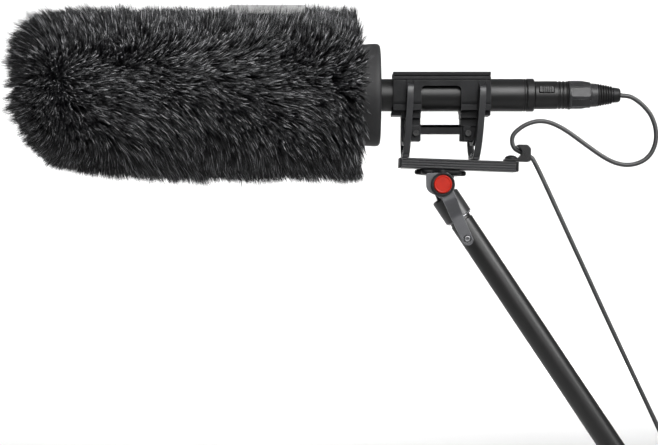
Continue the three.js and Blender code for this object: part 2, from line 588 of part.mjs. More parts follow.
function farPlugPieces() {
  const gripStart = FAR_PLUG_START + 17;
  const shellStart = gripStart + 16.7;
  const mouth = shellStart + 28;
  const backwards = (shape) => shape.rotate([0, 0, 180]).translate([FAR_PLUG_START + gripStart - GAP, 0, 0]);
  piece(farPlug, 'far_plug_boot', backwards(boot(FAR_PLUG_START, gripStart - GAP, 7.6)), 'rubber');
  piece(farPlug, 'far_plug_grip', ring(gripStart, shellStart - GAP, 6.5, 9.4), 'plastic');
  piece(farPlug, 'far_plug_shell', ring(shellStart, mouth, 8.2, 9.4), 'blackMetal');
  const carrier = disc(shellStart + 1, shellStart + 5, 7.9, 16);
  const insert = joined(carrier, ...pins(shellStart + 4, mouth - 7, 1.1));
  piece(farPlug, 'far_plug_insert', insert, 'gold');

  const strap = beltShape(POLE_RADIUS, 9.4, 1.8);
  strap.holes.push(beltShape(POLE_RADIUS, 9.4, 0.4));
  piece(poleFrame, 'cable_tie', beam(strap, shellStart + 4, shellStart + 18, 8), 'strap');
}

// ---- cable ----
// The loop leaves the boot, swings down behind the microphone and comes back to the bar's clip.
const LOOP_ROUTE = [
  [BOOT_END + GAP, -0.1], [127, -1.3], [133.9, -5.9], [140, -13], [143.4, -22], [143.5, -31.4],
  [140.2, -39.6], [133.9, -44.9], [125, -47.1], [116.2, -45.6], [107.8, -41.4], [98.8, -35.2],
  [90.9, -29.4], [84.3, -24.7], [77.8, -20.9], [70.9, -18.2], [64.1, -17.6], [57.4, -19.3],
  [51.4, -22.8], [47.4, -27], [46.6, -31.6], [48.3, -35.9], [51.9, -38.2], [54.2, -39.3]];
// The run is held straight from the clip to the far plug. In the pole's frame, from the pivot.
const RUN_ROUTE = [
  [14.6, 59.5], [18, 61.1], [22, 61.5], [40, 59], [70, 54.2], [100, 49.5], [130, 44.7], [160, 40.1],
  [190, 35.6], [220, 31.1], [250, 26.5], [275, 22.8], [293, 20.1], [302, 18.7], [308, 17.7],
  [FAR_PLUG_START - GAP, 17.05]];

function cable() {
  piece(rig, 'cable_loop', tube(LOOP_ROUTE, CORD_RADIUS, 46), 'cable');
  piece(poleFrame, 'cable_run', tube(RUN_ROUTE, CORD_RADIUS, 56), 'cable');
}

windscreen();
microphone();
nearPlug();
cradle();
lyre('front', LYRE_FRONT_X, 51.4, 14.4, 3);
lyre('rear', LYRE_REAR_X, 52.2, 15.9, 7);
bar();
cableClip();
lockRing();
swivelHead();
lever();
pole();
farPlugPieces();
cable();

// The origin is the middle of the pole's lower end face.
const foot = new THREE.Vector3(POLE_END, 0, POLE_OFFSET)
  .applyAxisAngle(new THREE.Vector3(0, 1, 0), THREE.MathUtils.degToRad(POLE_ANGLE)).add(PIVOT);
rig.position.copy(foot).negate();
const furryWindscreen = new THREE.Group();
furryWindscreen.add(rig);

export default furryWindscreen;
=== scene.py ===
# A furry windscreen on a sprung microphone with its swivel, boom pole and cable.
# Pieces are drawn in millimetres in the frame of whatever carries them, and placed in metres.
import json
import math

import bmesh
import bpy
import numpy as np
from mathutils import Matrix, Vector
from mathutils.kdtree import KDTree


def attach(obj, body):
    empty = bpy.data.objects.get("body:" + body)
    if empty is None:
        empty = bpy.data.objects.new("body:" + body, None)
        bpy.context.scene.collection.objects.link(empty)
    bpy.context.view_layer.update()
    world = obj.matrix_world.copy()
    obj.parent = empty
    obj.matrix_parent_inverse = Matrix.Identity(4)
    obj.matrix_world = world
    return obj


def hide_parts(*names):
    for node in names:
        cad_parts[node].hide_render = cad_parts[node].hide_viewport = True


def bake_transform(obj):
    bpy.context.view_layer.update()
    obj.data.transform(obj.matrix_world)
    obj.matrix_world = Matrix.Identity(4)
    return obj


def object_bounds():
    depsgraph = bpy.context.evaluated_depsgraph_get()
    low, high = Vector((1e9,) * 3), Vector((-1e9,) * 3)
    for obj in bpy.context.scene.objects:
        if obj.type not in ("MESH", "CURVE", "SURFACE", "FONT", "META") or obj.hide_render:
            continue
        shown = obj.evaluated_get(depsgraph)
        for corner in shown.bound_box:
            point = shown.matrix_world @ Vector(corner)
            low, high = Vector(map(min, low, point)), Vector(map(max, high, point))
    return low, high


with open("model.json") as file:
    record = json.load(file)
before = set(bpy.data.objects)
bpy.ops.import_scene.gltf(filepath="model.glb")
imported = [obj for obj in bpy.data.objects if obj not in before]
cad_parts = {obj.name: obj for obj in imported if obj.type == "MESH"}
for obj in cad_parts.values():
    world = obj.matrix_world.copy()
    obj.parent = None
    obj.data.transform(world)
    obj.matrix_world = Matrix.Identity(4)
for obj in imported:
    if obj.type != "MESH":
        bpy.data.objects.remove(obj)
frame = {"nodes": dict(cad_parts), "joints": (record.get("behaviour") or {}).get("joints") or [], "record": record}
cad_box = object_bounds()

# ---- frames ----
MM = 0.001
BAR_TILT = 2.05
POLE_ANGLE = 56.3
LEVER_ANGLE = 64.8
PIVOT = Vector((-1.8, 0, -60.7))
BAR_CENTRE = Vector((10, 0, -47.2))
POLE_OFFSET = -1.8
FAR_PLUG_OFFSET = 17
JOINTS = {joint["name"]: joint for joint in frame["joints"]}
ORIGIN = Vector(JOINTS["head_tilt"]["pos_m"]) - PIVOT * MM


def framed(centre, turn):
    """A frame in millimetres round centre, turned down towards the rear by turn degrees."""
    turned_by = Matrix.Rotation(math.radians(turn), 4, "Y")
    return Matrix.Translation(ORIGIN) @ Matrix.Scale(MM, 4) @ Matrix.Translation(centre) @ turned_by


RIG = framed((0, 0, 0), 0)  # X along the microphone's axis, to its rear
BAR = framed(BAR_CENTRE, BAR_TILT)
POLE = framed(PIVOT, POLE_ANGLE)
LEVER = framed(PIVOT, LEVER_ANGLE)
POLE_AXIS = POLE @ Matrix.Translation((0, 0, POLE_OFFSET))
FAR_PLUG = POLE @ Matrix.Translation((0, 0, FAR_PLUG_OFFSET))


def span(node, place):
    """The lowest and highest corner of a CAD node, in a frame's millimetres."""
    inverse = place.inverted()
    corners = [inverse @ v.co for v in frame["nodes"][node].data.vertices]
    return Vector(map(min, zip(*corners))), Vector(map(max, zip(*corners)))


def added(name, data):
    """A new object in the scene."""
    made = bpy.data.objects.new(name, data)
    bpy.context.scene.collection.objects.link(made)
    return made


# ---- camera ----
def make_camera():
    """It looks straight at the near side, from about a metre away."""
    data = bpy.data.cameras.new("camera")
    data.sensor_width = 36
    data.lens = 83.73
    camera = added("camera", data)
    camera.location = RIG @ Vector((-77.1, -1034, -86))
    camera.rotation_euler = (math.radians(90), 0, 0)
    bpy.context.scene.camera = camera


make_camera()


# ---- materials ----
class Nodes:
    """A material's node tree, with short calls for the nodes that the materials share."""

    def __init__(self, name, roughness, metallic=0.0, specular=0.5, coat=0.0, sheen=0.0):
        self.material = bpy.data.materials.new(name)
        self.material.use_nodes = True
        self.tree = self.material.node_tree
        self.shader = self.tree.nodes["Principled BSDF"]
        values = {"Roughness": roughness, "Metallic": metallic, "Specular IOR Level": specular,
                  "Coat Weight": coat, "Sheen Weight": sheen}
        for socket, value in values.items():
            self.shader.inputs[socket].default_value = value

    def add(self, kind, inputs=None, **settings):
        node = self.tree.nodes.new("ShaderNode" + kind)
        for name, value in settings.items():
            setattr(node, name, value)
        for name, value in (inputs or {}).items():
            if isinstance(value, bpy.types.NodeSocket):
                self.tree.links.new(value, node.inputs[name])
            else:
                node.inputs[name].default_value = value
        return node

    def place(self, turn=0.0, stretch=(1, 1, 1)):
        """Coordinates in metres, turned about Y and then stretched."""
        where = self.add("TexCoord").outputs["Object"]
        if turn:
            inputs = {"Vector": where, "Angle": -math.radians(turn)}
            where = self.add("VectorRotate", inputs, rotation_type="Y_AXIS").outputs[0]
        return self.add("Mapping", {"Vector": where, "Scale": stretch}).outputs[0]

    def noise(self, size, detail=3.0, where=None):
        """A noise whose features are about size metres across."""
        where = where or self.place()
        inputs = {"Vector": where, "Scale": 1 / size, "Detail": detail, "Roughness": 0.55}
        return self.add("TexNoise", inputs).outputs["Fac"]

    def cells(self, size):
        """How far a place is from the middle of its cell, in cells about size metres across."""
        return self.add("TexVoronoi", {"Vector": self.place(), "Scale": 1 / size}).outputs["Distance"]

    def waves(self, size, where, direction, distortion=0.4):
        inputs = {"Vector": where, "Scale": 0.32 / size, "Distortion": distortion}
        return self.add("TexWave", inputs, bands_direction=direction).outputs["Fac"]

    def drawn_lines(self, turn):
        """Fine lines along a part that lies turn degrees down towards the rear."""
        return self.noise(0.0006, 4, self.place(turn, (0.03, 1, 1)))

    def weave(self, size, dark, light, depth):
        """A plain weave of crossing threads."""
        where = self.place()
        crossing = {0: self.waves(size, where, "X"), 1: self.waves(size, where, "Y")}
        threads = self.add("Math", crossing, operation="MAXIMUM").outputs[0]
        self.colour(self.tones(threads, dark, light, 0.2, 0.9))
        self.bump(threads, depth, 0.0002)

    def ramp(self, value, stops):
        node = self.add("ValToRGB", {"Fac": value})
        elements = node.color_ramp.elements
        while len(elements) < len(stops):
            elements.new(0.5)
        for element, (position, colour) in zip(elements, stops):
            element.position = position
            element.color = (*colour, 1) if hasattr(colour, "__len__") else (colour, colour, colour, 1)
        return node.outputs["Color"]

    def mix(self, share, a, b):
        node = self.add("Mix", data_type="RGBA")
        for socket, value in ((0, share), (6, a), (7, b)):
            if isinstance(value, bpy.types.NodeSocket):
                self.tree.links.new(value, node.inputs[socket])
            else:
                node.inputs[socket].default_value = (*value, 1)
        return node.outputs[2]

    def edge_wear_and_highlight(self, base, bare_and_highlight, share):
        """A base colour made paler along its edges, where a bevelled normal leaves the real one: partly rubbed
        wear, partly a painted highlight.
        """
        bevel = self.add("Bevel", {"Radius": 0.0006}, samples=4).outputs[0]
        real = self.add("NewGeometry").outputs["Normal"]
        dot = self.add("VectorMath", {0: bevel, 1: real}, operation="DOT_PRODUCT").outputs["Value"]
        return self.mix(self.tones(dot, share, 0.0, 0.93, 0.995), base, bare_and_highlight)

    def tones(self, value, dark, light, low=0.35, high=0.65):
        """A colour from dark to light, by a value."""
        return self.ramp(value, [(low, dark), (high, light)])

    def colour(self, output):
        self.link(output, "Base Color")

    def gloss(self, value, low, high):
        """A roughness from low to high, by a noise."""
        self.link(self.tones(value, low, high, 0.3, 0.7), "Roughness")

    def bump(self, height, strength, distance=0.0001):
        inputs = {"Height": height, "Strength": strength, "Distance": distance}
        self.link(self.add("Bump", inputs).outputs[0], "Normal")

    def link(self, output, socket):
        self.tree.links.new(output, self.shader.inputs[socket])


MATERIALS = {}


def material(roughness, **settings):
    """Makes a material that a function draws, and keeps it under the function's name."""
    def keep(draw):
        made = Nodes(draw.__name__, roughness, **settings)
        draw(made)
        MATERIALS[draw.__name__] = made.material
        return draw
    return keep


STRAND_MAP = "OFBake"  # the strands' own map, which their colour is read through


@material(0.4, specular=0.26)
def fur(made):
    """Pile that is black at its roots and grey at its tips, in a different tone for each strand."""
    where = made.add("UVMap", uv_map=STRAND_MAP).outputs[0]
    tone, along, _ = made.add("SeparateXYZ", {0: where}).outputs
    root = made.tones(tone, 0.002, 0.02, 0.0, 1.0)
    black, grey, pale = (0.002, 0.002, 0.0022), (0.048, 0.049, 0.0515), (0.46, 0.46, 0.474)
    tip = made.ramp(tone, [(0.0, black), (0.35, grey), (1.0, pale)])
    made.colour(made.mix(made.ramp(along, [(0.15, 0.0), (0.55, 0.3), (0.95, 1.0)]), root, tip))


@material(0.9, specular=0.2, sheen=0.1)
def backing(made):
    """The knitted cloth that the pile grows from."""
    made.weave(0.001, 0.004, 0.01, 0.6)


@material(0.8, specular=0.3, sheen=0.2)
def label(made):
    """A pale woven ribbon."""
    made.weave(0.0006, (0.14, 0.14, 0.1385), (0.215, 0.215, 0.212), 0.5)


@material(0.9, specular=0.25, sheen=0.2)
def strap(made):
    """Black hook-and-loop tape."""
    made.weave(0.0012, 0.006, 0.016, 0.9)


@material(0.95, specular=0.2)
def foam(made):
    """Open-cell foam, pitted all over."""
    pits = made.cells(0.0009)
    made.colour(made.tones(pits, 0.016, 0.004, 0.15, 0.6))
    made.bump(pits, 1.0, 0.0004)


@material(0.6, specular=0.2)
def rubber(made):
    """Soft matt rubber with a little dust on it."""
    dust = made.noise(0.018, 6)
    made.colour(made.tones(dust, (0.009, 0.009, 0.0095), (0.017, 0.017, 0.0176), 0.35, 0.72))
    made.gloss(dust, 0.54, 0.66)
    made.bump(made.noise(0.0004, 2), 0.35)


@material(0.42, specular=0.14)
def boot_rubber(made):
    """The bendable plastic of strain reliefs and clips, smoother than the cap's rubber."""
    made.colour(made.tones(made.noise(0.008), 0.005, (0.0085, 0.0085, 0.009)))
    made.gloss(made.noise(0.003), 0.4, 0.52)
    made.bump(made.noise(0.0005, 2), 0.25)


@material(0.46, specular=0.09)
def plastic(made):
    """Glass-filled nylon: a matt grain, cloudy patches, and paler edges that are partly rubbed wear and partly a
    painted highlight.
    """
    base = made.tones(made.noise(0.012), (0.0036, 0.0037, 0.004), (0.0062, 0.0064, 0.007))
    made.colour(made.edge_wear_and_highlight(base, (0.045, 0.045, 0.047), 0.5))
    made.gloss(made.noise(0.004), 0.42, 0.54)
    made.bump(made.noise(0.0005, 2), 0.5)


@material(0.38, specular=0.22)
def grip(made):
    """The plugs' sleeves, of a shinier plastic that hands have polished, with paler edges that are partly rubbed
    and partly a painted highlight.
    """
    base = made.tones(made.noise(0.007), (0.01, 0.01, 0.0106), (0.016, 0.016, 0.017))
    made.colour(made.edge_wear_and_highlight(base, (0.09, 0.09, 0.094), 0.6))
    made.gloss(made.noise(0.003, 4), 0.34, 0.46)
    made.bump(made.noise(0.0006, 2), 0.2)


@material(0.42, specular=0.3)
def spring(made):
    """The springs' smooth plastic, a little paler along its edges: partly where it has been bent, partly a painted
    highlight.
    """
    clouds = made.noise(0.01)
    base = made.tones(clouds, (0.0085, 0.0087, 0.0094), (0.014, 0.0142, 0.0154), 0.3, 0.7)
    made.colour(made.edge_wear_and_highlight(base, (0.07, 0.07, 0.074), 0.4))
    made.gloss(made.noise(0.006, 4), 0.36, 0.5)
    made.bump(made.noise(0.0015, 3), 0.25)


@material(0.38, specular=0.24)
def barrel(made):
    """Satin black lacquer on a turned tube."""
    lines = made.drawn_lines(0)
    made.colour(made.tones(lines, 0.0028, (0.0048, 0.0048, 0.005)))
    made.gloss(made.noise(0.015, 5), 0.36, 0.45)
    made.bump(lines, 0.2, 0.00005)


@material(0.28, metallic=1.0)
def steel(made):
    """Plain steel with drawn lines."""
    lines = made.drawn_lines(0)
    made.colour(made.tones(lines, (0.4, 0.41, 0.42), (0.6, 0.61, 0.62)))
    made.gloss(made.noise(0.01), 0.22, 0.36)
    made.bump(lines, 0.3, 0.00005)


@material(0.32, metallic=1.0)
def dark_steel(made):
    """Blackened steel, paler on the edges of screws: partly rubbed to the metal, partly a painted highlight."""
    base = made.tones(made.noise(0.002), (0.07, 0.07, 0.074), (0.13, 0.13, 0.136), 0.3, 0.7)
    made.colour(made.edge_wear_and_highlight(base, (0.4, 0.4, 0.41), 0.7))
    made.gloss(made.noise(0.001), 0.26, 0.4)


@material(0.25, metallic=1.0)
def contacts(made):
    """Gilded contacts that use has rubbed paler."""
    rubs = made.noise(0.0015, 5)
    made.colour(made.tones(rubs, (0.58, 0.38, 0.13), (0.72, 0.56, 0.3), 0.35, 0.7))
    made.gloss(rubs, 0.2, 0.36)


@material(0.4, coat=0.3)
def board(made):
    """A circuit board: green resist with paler tracks along it."""
    tracks = made.waves(0.0012, made.place(0, (0.15, 1, 1)), "Z", 6)
    made.colour(made.tones(tracks, (0.01, 0.06, 0.03), (0.03, 0.15, 0.07), 0.7, 0.8))
    made.bump(tracks, 0.3, 0.00005)


@material(0.42, metallic=0.2, specular=0.2)
def extrusion(made):
    """The bar's black anodised aluminium, with the die's lines along it."""
    lines = made.drawn_lines(BAR_TILT)
    # Paler edges: partly rubbed anodising, partly a painted highlight.
    made.colour(made.edge_wear_and_highlight(made.tones(lines, 0.005, (0.01, 0.0102, 0.011)), (0.12, 0.12, 0.125), 0.4))
    made.gloss(made.noise(0.02, 4), 0.36, 0.5)
    made.bump(lines, 0.5, 0.00005)


@material(0.44, specular=0.45)
def paint(made):
    """Pebbled powder coat on die castings, paler at the edges: partly rubbed through, partly a painted highlight.
    """
    base = made.tones(made.noise(0.009), (0.02, 0.0205, 0.023), (0.029, 0.0295, 0.033))
    made.colour(made.edge_wear_and_highlight(base, (0.13, 0.132, 0.14), 0.6))
    made.gloss(made.noise(0.003), 0.38, 0.52)
    made.bump(made.cells(0.0008), 0.35)


@material(0.36, specular=0.46)
def ferrule(made):
    """Glossier paint over the pole's turned socket."""
    lines = made.drawn_lines(POLE_ANGLE)
    base = made.tones(lines, (0.008, 0.008, 0.0083), (0.012, 0.012, 0.0125), 0.3, 0.7)
    # Paler edges: partly rubbed paint, partly a painted highlight on the chamfers.
    made.colour(made.edge_wear_and_highlight(base, (0.18, 0.18, 0.185), 0.5))
    made.gloss(made.noise(0.006, 4), 0.34, 0.44)
    made.bump(lines, 0.15, 0.00005)


@material(0.38, specular=0.1)
def red(made):
    """The cap's red plastic, slightly uneven as moulded."""
    flow = made.noise(0.005, 4)
    made.colour(made.tones(flow, (0.205, 0.0075, 0.003), (0.25, 0.01, 0.004), 0.3, 0.7))
    made.gloss(flow, 0.32, 0.44)
    made.bump(made.noise(0.0006, 2), 0.12)


@material(0.36, specular=0.34)
def pole_lacquer(made):
    """Deep black lacquer on the pole, with faint rubs where its sections slide."""
    lines = made.drawn_lines(POLE_ANGLE)
    made.colour(made.tones(lines, 0.002, 0.0036))
    made.gloss(lines, 0.36, 0.44)
    made.bump(made.noise(0.004, 3), 0.05)


@material(0.42, specular=0.4)
def cable(made):
    """A matt flexible jacket, with the laid cores showing faintly through it."""
    made.colour(made.tones(made.noise(0.006), 0.01, (0.017, 0.017, 0.0176), 0.3, 0.7))
    made.gloss(made.noise(0.003), 0.38, 0.48)
    made.bump(made.noise(0.0009, 2), 0.25)


# ---- outlines, as lists of points ----
def arc(a, b, radius, start, end, steps=12):
    """Points round a centre, from one angle to another, in degrees."""
    turns = [math.radians(start + (end - start) * i / steps) for i in range(steps + 1)]
    return [(a + radius * math.cos(turn), b + radius * math.sin(turn)) for turn in turns]


def circle(a, b, radius, steps=48):
    return arc(a, b, radius, 0, 360, steps)[:-1]


def mirrored(half):
    """A closed outline from its half on one side of the middle."""
    return [*half, *[(-a, b) for a, b in half[::-1]]]


def hexagon(a, b, radius):
    return circle(a, b, radius, 6)


def box_outline(a0, b0, a1, b1, radius):
    corners = [(a1 - radius, b1 - radius, 0), (a0 + radius, b1 - radius, 90),
               (a0 + radius, b0 + radius, 180), (a1 - radius, b0 + radius, 270)]
    return [point for a, b, start in corners for point in arc(a, b, radius, start, start + 90, 8)]


def rounded(points, radius, closed, steps=3):
    """The same line with its corners rounded off, each by at most radius."""
    made = [] if closed else [points[0]]
    count = len(points)
    for i in range(count) if closed else range(1, count - 1):
        before, corner, after = (Vector(points[(i + k) % count]) for k in (-1, 0, 1))
        ends = [corner + (other - corner) * min(radius / max((other - corner).length, 1e-6), 0.48)
                for other in (before, after)]
        for k in range(steps + 1):
            t = k / steps
            made.append(tuple(ends[0] * (1 - t) ** 2 + corner * 2 * t * (1 - t) + ends[1] * t ** 2))
    return made if closed else [*made, points[-1]]


def through(points, steps):
    """A smooth curve through the points (Catmull-Rom), with steps between each two."""
    known = np.array(points, float)
    ends = 2 * known[[0, -1]] - known[[1, -2]]
    known = np.vstack([ends[:1], known, ends[1:]])
    t = np.linspace(0, 1, steps, endpoint=False)[:, None]
    made = []
    for p0, p1, p2, p3 in zip(known, known[1:], known[2:], known[3:]):
        made.append(0.5 * (2 * p1 + (p2 - p0) * t + (2 * p0 - 5 * p1 + 4 * p2 - p3) * t ** 2
                           + (3 * p1 - p0 - 3 * p2 + p3) * t ** 3))
    return np.vstack([*made, known[-2:-1]])


def headings(line):
    """The direction of a line at each of its points."""
    along = np.gradient(line, axis=-2)
    return along / np.linalg.norm(along, axis=-1)[..., None]


def groove(x, radius, width, depth, lean):
    """The part of a turned profile that goes down into a groove and up again."""
    return [(x, radius), (x + lean, radius - depth), (x + width - lean, radius - depth),
            (x + width, radius)]


# ---- solids, in millimetres ----
def solid(name, points, faces):
    mesh = bpy.data.meshes.new(name)
    mesh.from_pydata([tuple(map(float, p)) for p in points], [], faces)
    mesh.update()
    return added(name, mesh)


def turned(profile, segments=96):
    """A profile of (x, radius) points turned about X. It starts and ends on the axis, or closes."""
    points, rings, faces = [], [], []
    turns = [2 * math.pi * i / segments for i in range(segments)]
    for x, radius in profile:
        start = len(points)
        if radius < 1e-6:
            points.append((x, 0, 0))
        else:
            points += [(x, radius * math.cos(turn), radius * math.sin(turn)) for turn in turns]
        rings.append(list(range(start, len(points))))
    closing = rings[:1] if len(rings[0]) > 1 else []
    for near, far in zip(rings, rings[1:] + closing):
        for i in range(segments):
            j = (i + 1) % segments
            if len(near) == 1:
                faces.append((near[0], far[i], far[j]))
            elif len(far) == 1:
                faces.append((near[j], near[i], far[0]))
            else:
                faces.append((near[j], near[i], far[i], far[j]))
    return outwards(solid("turned", points, faces))


def outwards(made):
    """Turns a closed solid's faces outwards."""
    mesh = bmesh.new()
    mesh.from_mesh(made.data)
    bmesh.ops.recalc_face_normals(mesh, faces=mesh.faces)
    mesh.to_mesh(made.data)
    mesh.free()
    return made


def prism(outline, low, high, along):
    """An outline pushed from low to high along an axis: (y, z), (x, z) or (x, y) points for X, Y or Z."""
    order = {"x": (2, 0, 1), "y": (0, 2, 1), "z": (0, 1, 2)}[along]
    count = len(outline)
    points = [tuple((a, b, c)[i] for i in order) for c in (low, high) for a, b in outline]
    faces = [tuple(range(count)), tuple(range(2 * count - 1, count - 1, -1))]
    faces += [((i + 1) % count, i, count + i, count + (i + 1) % count) for i in range(count)]
    return outwards(solid("prism", points, faces))


def rod(a, b, radius, low, high, along, steps=48):
    """A round bar round (a, b), from low to high along an axis."""
    return prism(circle(a, b, radius, steps), low, high, along)


def block(x0, x1, y0, y1, z0, z1):
    return prism([(x0, y0), (x1, y0), (x1, y1), (x0, y1)], z0, z1, "z")


def applied(made):
    """Turns an object's modifiers into its mesh."""
    evaluated = made.evaluated_get(bpy.context.evaluated_depsgraph_get())
    mesh = bpy.data.meshes.new_from_object(evaluated)
    made.modifiers.clear()
    made.data = mesh
    return made


def combined(operation, made, others):
    for other in others:
        modifier = made.modifiers.new("combined", "BOOLEAN")
        modifier.operation = operation
        modifier.solver = "EXACT"
        modifier.object = other
    applied(made)
    for other in others:
        bpy.data.objects.remove(other)
    return made


def joined(made, *others):
    return combined("UNION", made, others)


def cut(made, *others):
    return combined("DIFFERENCE", made, others)


def moved(made, x=0, y=0, z=0, turn=0, axis="X"):
    """Turns a solid about an axis, in degrees, and then moves it."""
    made.data.transform(Matrix.Translation((x, y, z)) @ Matrix.Rotation(math.radians(turn), 4, axis))
    return made


def lathed(profile, corner, closed=True, steps=3, segments=96):
    """A profile with rounded corners, turned about the X axis."""
    return turned(rounded(profile, corner, closed, steps), segments)


def softened(made, width, segments=2, angle=32):
    """Rounds off the edges."""
    modifier = made.modifiers.new("softened", "BEVEL")
    modifier.width = width
    modifier.segments = segments
    modifier.limit_method = "ANGLE"
    modifier.angle_limit = math.radians(angle)
    modifier.use_clamp_overlap = False
    return applied(made)


RIDERS = {node: body for body, nodes in frame["record"]["behaviour"]["bodies"].items() for node in nodes}


def covered(mesh, material):
    mesh.materials.clear()
    mesh.materials.append(MATERIALS[material])


def piece(made, node, place, material, sharp=40, ride=True):
    """Places a solid as the look of a CAD node, which it hides: it rides on the node's body."""
    made.name = f"{node}_look"
    made.data.transform(place)
    made.data.shade_smooth()
    made.data.set_sharp_from_angle(angle=math.radians(sharp))
    flattened = made.modifiers.new("normals", "WEIGHTED_NORMAL")
    flattened.keep_sharp = True
    applied(made)
    covered(made.data, material)
    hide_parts(node)
    if ride:
        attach(made, RIDERS[node])
    return made


def kept(material, *nodes):
    """CAD nodes whose own shape stays."""
    for node in nodes:
        covered(frame["nodes"][node].data, material)


# ---- the plugs' boots, which the cords come out of ----
CORD_RADIUS = 1.5


def boot(x0, x1):
    """A ribbed strain relief that narrows to the cable's outlet at x1."""
    ribs = 6
    ribbed_end = x0 + (x1 - x0) * 0.68
    pitch = (ribbed_end - x0) / ribs
    profile = [(x0, CORD_RADIUS + 0.1)]
    for i in range(ribs):
        x = x0 + pitch * i
        radius = 7.6 - 1.9 * i / ribs
        floor = radius - 1.3
        profile += [(x, radius), (x + pitch * 0.5, radius)]
        profile += [(x + pitch * 0.58, floor), (x + pitch * 0.94, floor)]
    profile += [(ribbed_end, 5.2), (ribbed_end + 2, 5), (x1 - 1.2, 4.8), (x1, 4.1),
                (x1, CORD_RADIUS + 0.1)]
    return lathed(profile, 0.3, True, 2)


# ---- cords ----
# From the boot, down behind the microphone, and back to the bar's clip.
LOOP_ROUTE = [
    (119.6, -0.1), (127, -1.3), (133.9, -5.9), (140, -13), (143.4, -22), (143.5, -31.4), (140.2, -39.6),
    (133.9, -44.9), (125, -47.1), (116.2, -45.6), (107.8, -41.4), (98.8, -35.2), (90.9, -29.4),
    (84.3, -24.7), (77.8, -20.9), (70.9, -18.2), (64.1, -17.6), (57.4, -19.3), (51.4, -22.8),
    (47.4, -27), (46.6, -31.6), (48.3, -35.9), (51.9, -38.2), (54.2, -39.3)]
# Straight from the clip to the far plug, in the pole's frame.
RUN_ROUTE = [
    (14.6, 59.5), (18, 61.1), (22, 61.5), (40, 59), (70, 54.2), (100, 49.5), (130, 44.7), (160, 40.1),
    (190, 35.6), (220, 31.1), (250, 26.5), (275, 22.8), (293, 20.1), (302, 18.7), (308, 17.7),
    (313.7, 17.05)]


def tube(route, place, radius=CORD_RADIUS):
    """A round cord along a route of (x, z) points, and the middles of its rings in metres."""
    sides = 20
    line = through(route, 8)
    points = []
    for (x, z), (dx, dz) in zip(line, headings(line)):
        for a, b in circle(0, 0, radius, sides):
            points.append((x - dz * a, b, z + dx * a))
    last = len(points) - sides
    faces = [tuple(range(sides)), tuple(range(last + sides - 1, last - 1, -1))]
    for ring in range(0, last, sides):
        for i in range(sides):
            j = (i + 1) % sides
            faces.append((ring + i, ring + sides + i, ring + sides + j, ring + j))
    path = [place @ Vector((x, 0, z)) for x, z in line]
    return outwards(solid("tube", points, faces)), path


def far_plug_pieces():
    boot_low, boot_high = span("far_plug_boot", FAR_PLUG)
    relief = boot(boot_low.x, boot_high.x)
    moved(relief, x=boot_low.x + boot_high.x, turn=180, axis="Z")
    made = [piece(relief, "far_plug_boot", FAR_PLUG, "boot_rubber")]
    low, high = span("far_plug_grip", FAR_PLUG)
    made.append(piece(plug_grip(low.x, high.x, high.z), "far_plug_grip", FAR_PLUG, "grip"))
    low, high = span("far_plug_shell", FAR_PLUG)
    profile = [(low.x, 8.2), (low.x, high.z), *groove(low.x + 2, high.z, 1.7, 0.4, 0.3),
               (high.x, high.z), (high.x, 8.2)]
    piece(lathed(profile, 0.4), "far_plug_shell", FAR_PLUG, "barrel")
    kept("contacts", "far_plug_insert")
    return made


def plug_grip(x0, x1, radius):
    """A plug's rear sleeve: long shallow recesses round it, and a step to the boot."""
    taper, step = x0 + 9.8, x1 - 4.4
    profile = [(x0, 6.5), (x0, radius - 0.5), (x0 + 0.6, radius), (taper, radius),
               (step - 0.4, radius - 1.1), (step, radius - 1.7), (x1, radius - 2), (x1, 6.5)]
    sleeve = lathed(profile, 0.5)
    recesses = []
    for i in range(7):
        shape = box_outline(x0 + 2, -3, step - 1, 3, 1.2)
        recesses.append(moved(prism(shape, radius - 1.25, radius + 2, "z"), turn=80 + i * 360 / 7))
    return softened(cut(sleeve, *recesses), 0.2)


def cords():
    loop, path = tube(LOOP_ROUTE, RIG)
    piece(loop, "cable_loop", RIG, "cable", ride=False)
    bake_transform(loop)
    low, high = span("plug_boot", RIG)
    near_boot = piece(boot(low.x, high.x), "plug_boot", RIG, "boot_rubber")

    run, path = tube(RUN_ROUTE, POLE)
    piece(run, "cable_run", POLE, "cable", ride=False)
    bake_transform(run)
    far_plug_pieces()


cords()


# ---- windscreen ----
# The pile: a strand's root on the backing, and where its tip ends, as (x, radius) from the middle of the
# front to the rear. The tips lie differently on the crown, on the sides and on the belly.
PILE_ROOTS = [(-264.4, 0), (-264.4, 12), (-264.2, 21), (-261, 31), (-256, 35.6), (-250, 37.2),
              (-238, 37.4), (-215, 37.4), (-185, 37.4), (-150, 37.4), (-59, 37.4)]
CROWN_TIPS = [(-296, 0), (-295.5, 13), (-293.5, 27), (-289.5, 40.5), (-282, 52.4), (-269.5, 61),
              (-251, 63.2), (-222, 62), (-188, 61.2), (-146, 60.8), (-56, 60.8)]
SIDE_TIPS = [(-296, 0), (-293, 17), (-281.5, 34), (-263, 48.5), (-249, 55.5), (-237, 58.6),
             (-222, 60), (-199, 60), (-169, 60), (-134, 60), (-50, 60)]
BELLY_TIPS = [(-296, 0), (-290.5, 13.5), (-284, 26.5), (-277, 37.5), (-269, 46), (-256, 51),
              (-236, 54.5), (-206, 57.8), (-176, 58.8), (-141, 58.8), (-53, 58.6)]
COMB_DOWN = 6.4
STRANDS = 110000
GUARD_HAIRS = 0.36  # the share of long, coarse, paler strands
SECTORS = 8
TUFT_SIZE = 6.5
CLUMP_SIZE = 2.4
PILE_AREA = 2 * math.pi * 57 * 260  # of the pile's outside, about
BENDS = (0.0, 0.4, 0.75, 1.0)  # where a strand's four points are on its way from root to tip
STRAND_RADII = (0.2, 0.23, 0.17)  # at all but the last of them
TONES = 64


def smoothstep(low, high, value):
    t = np.clip((value - low) / (high - low), 0, 1)
    return t * t * (3 - 2 * t)


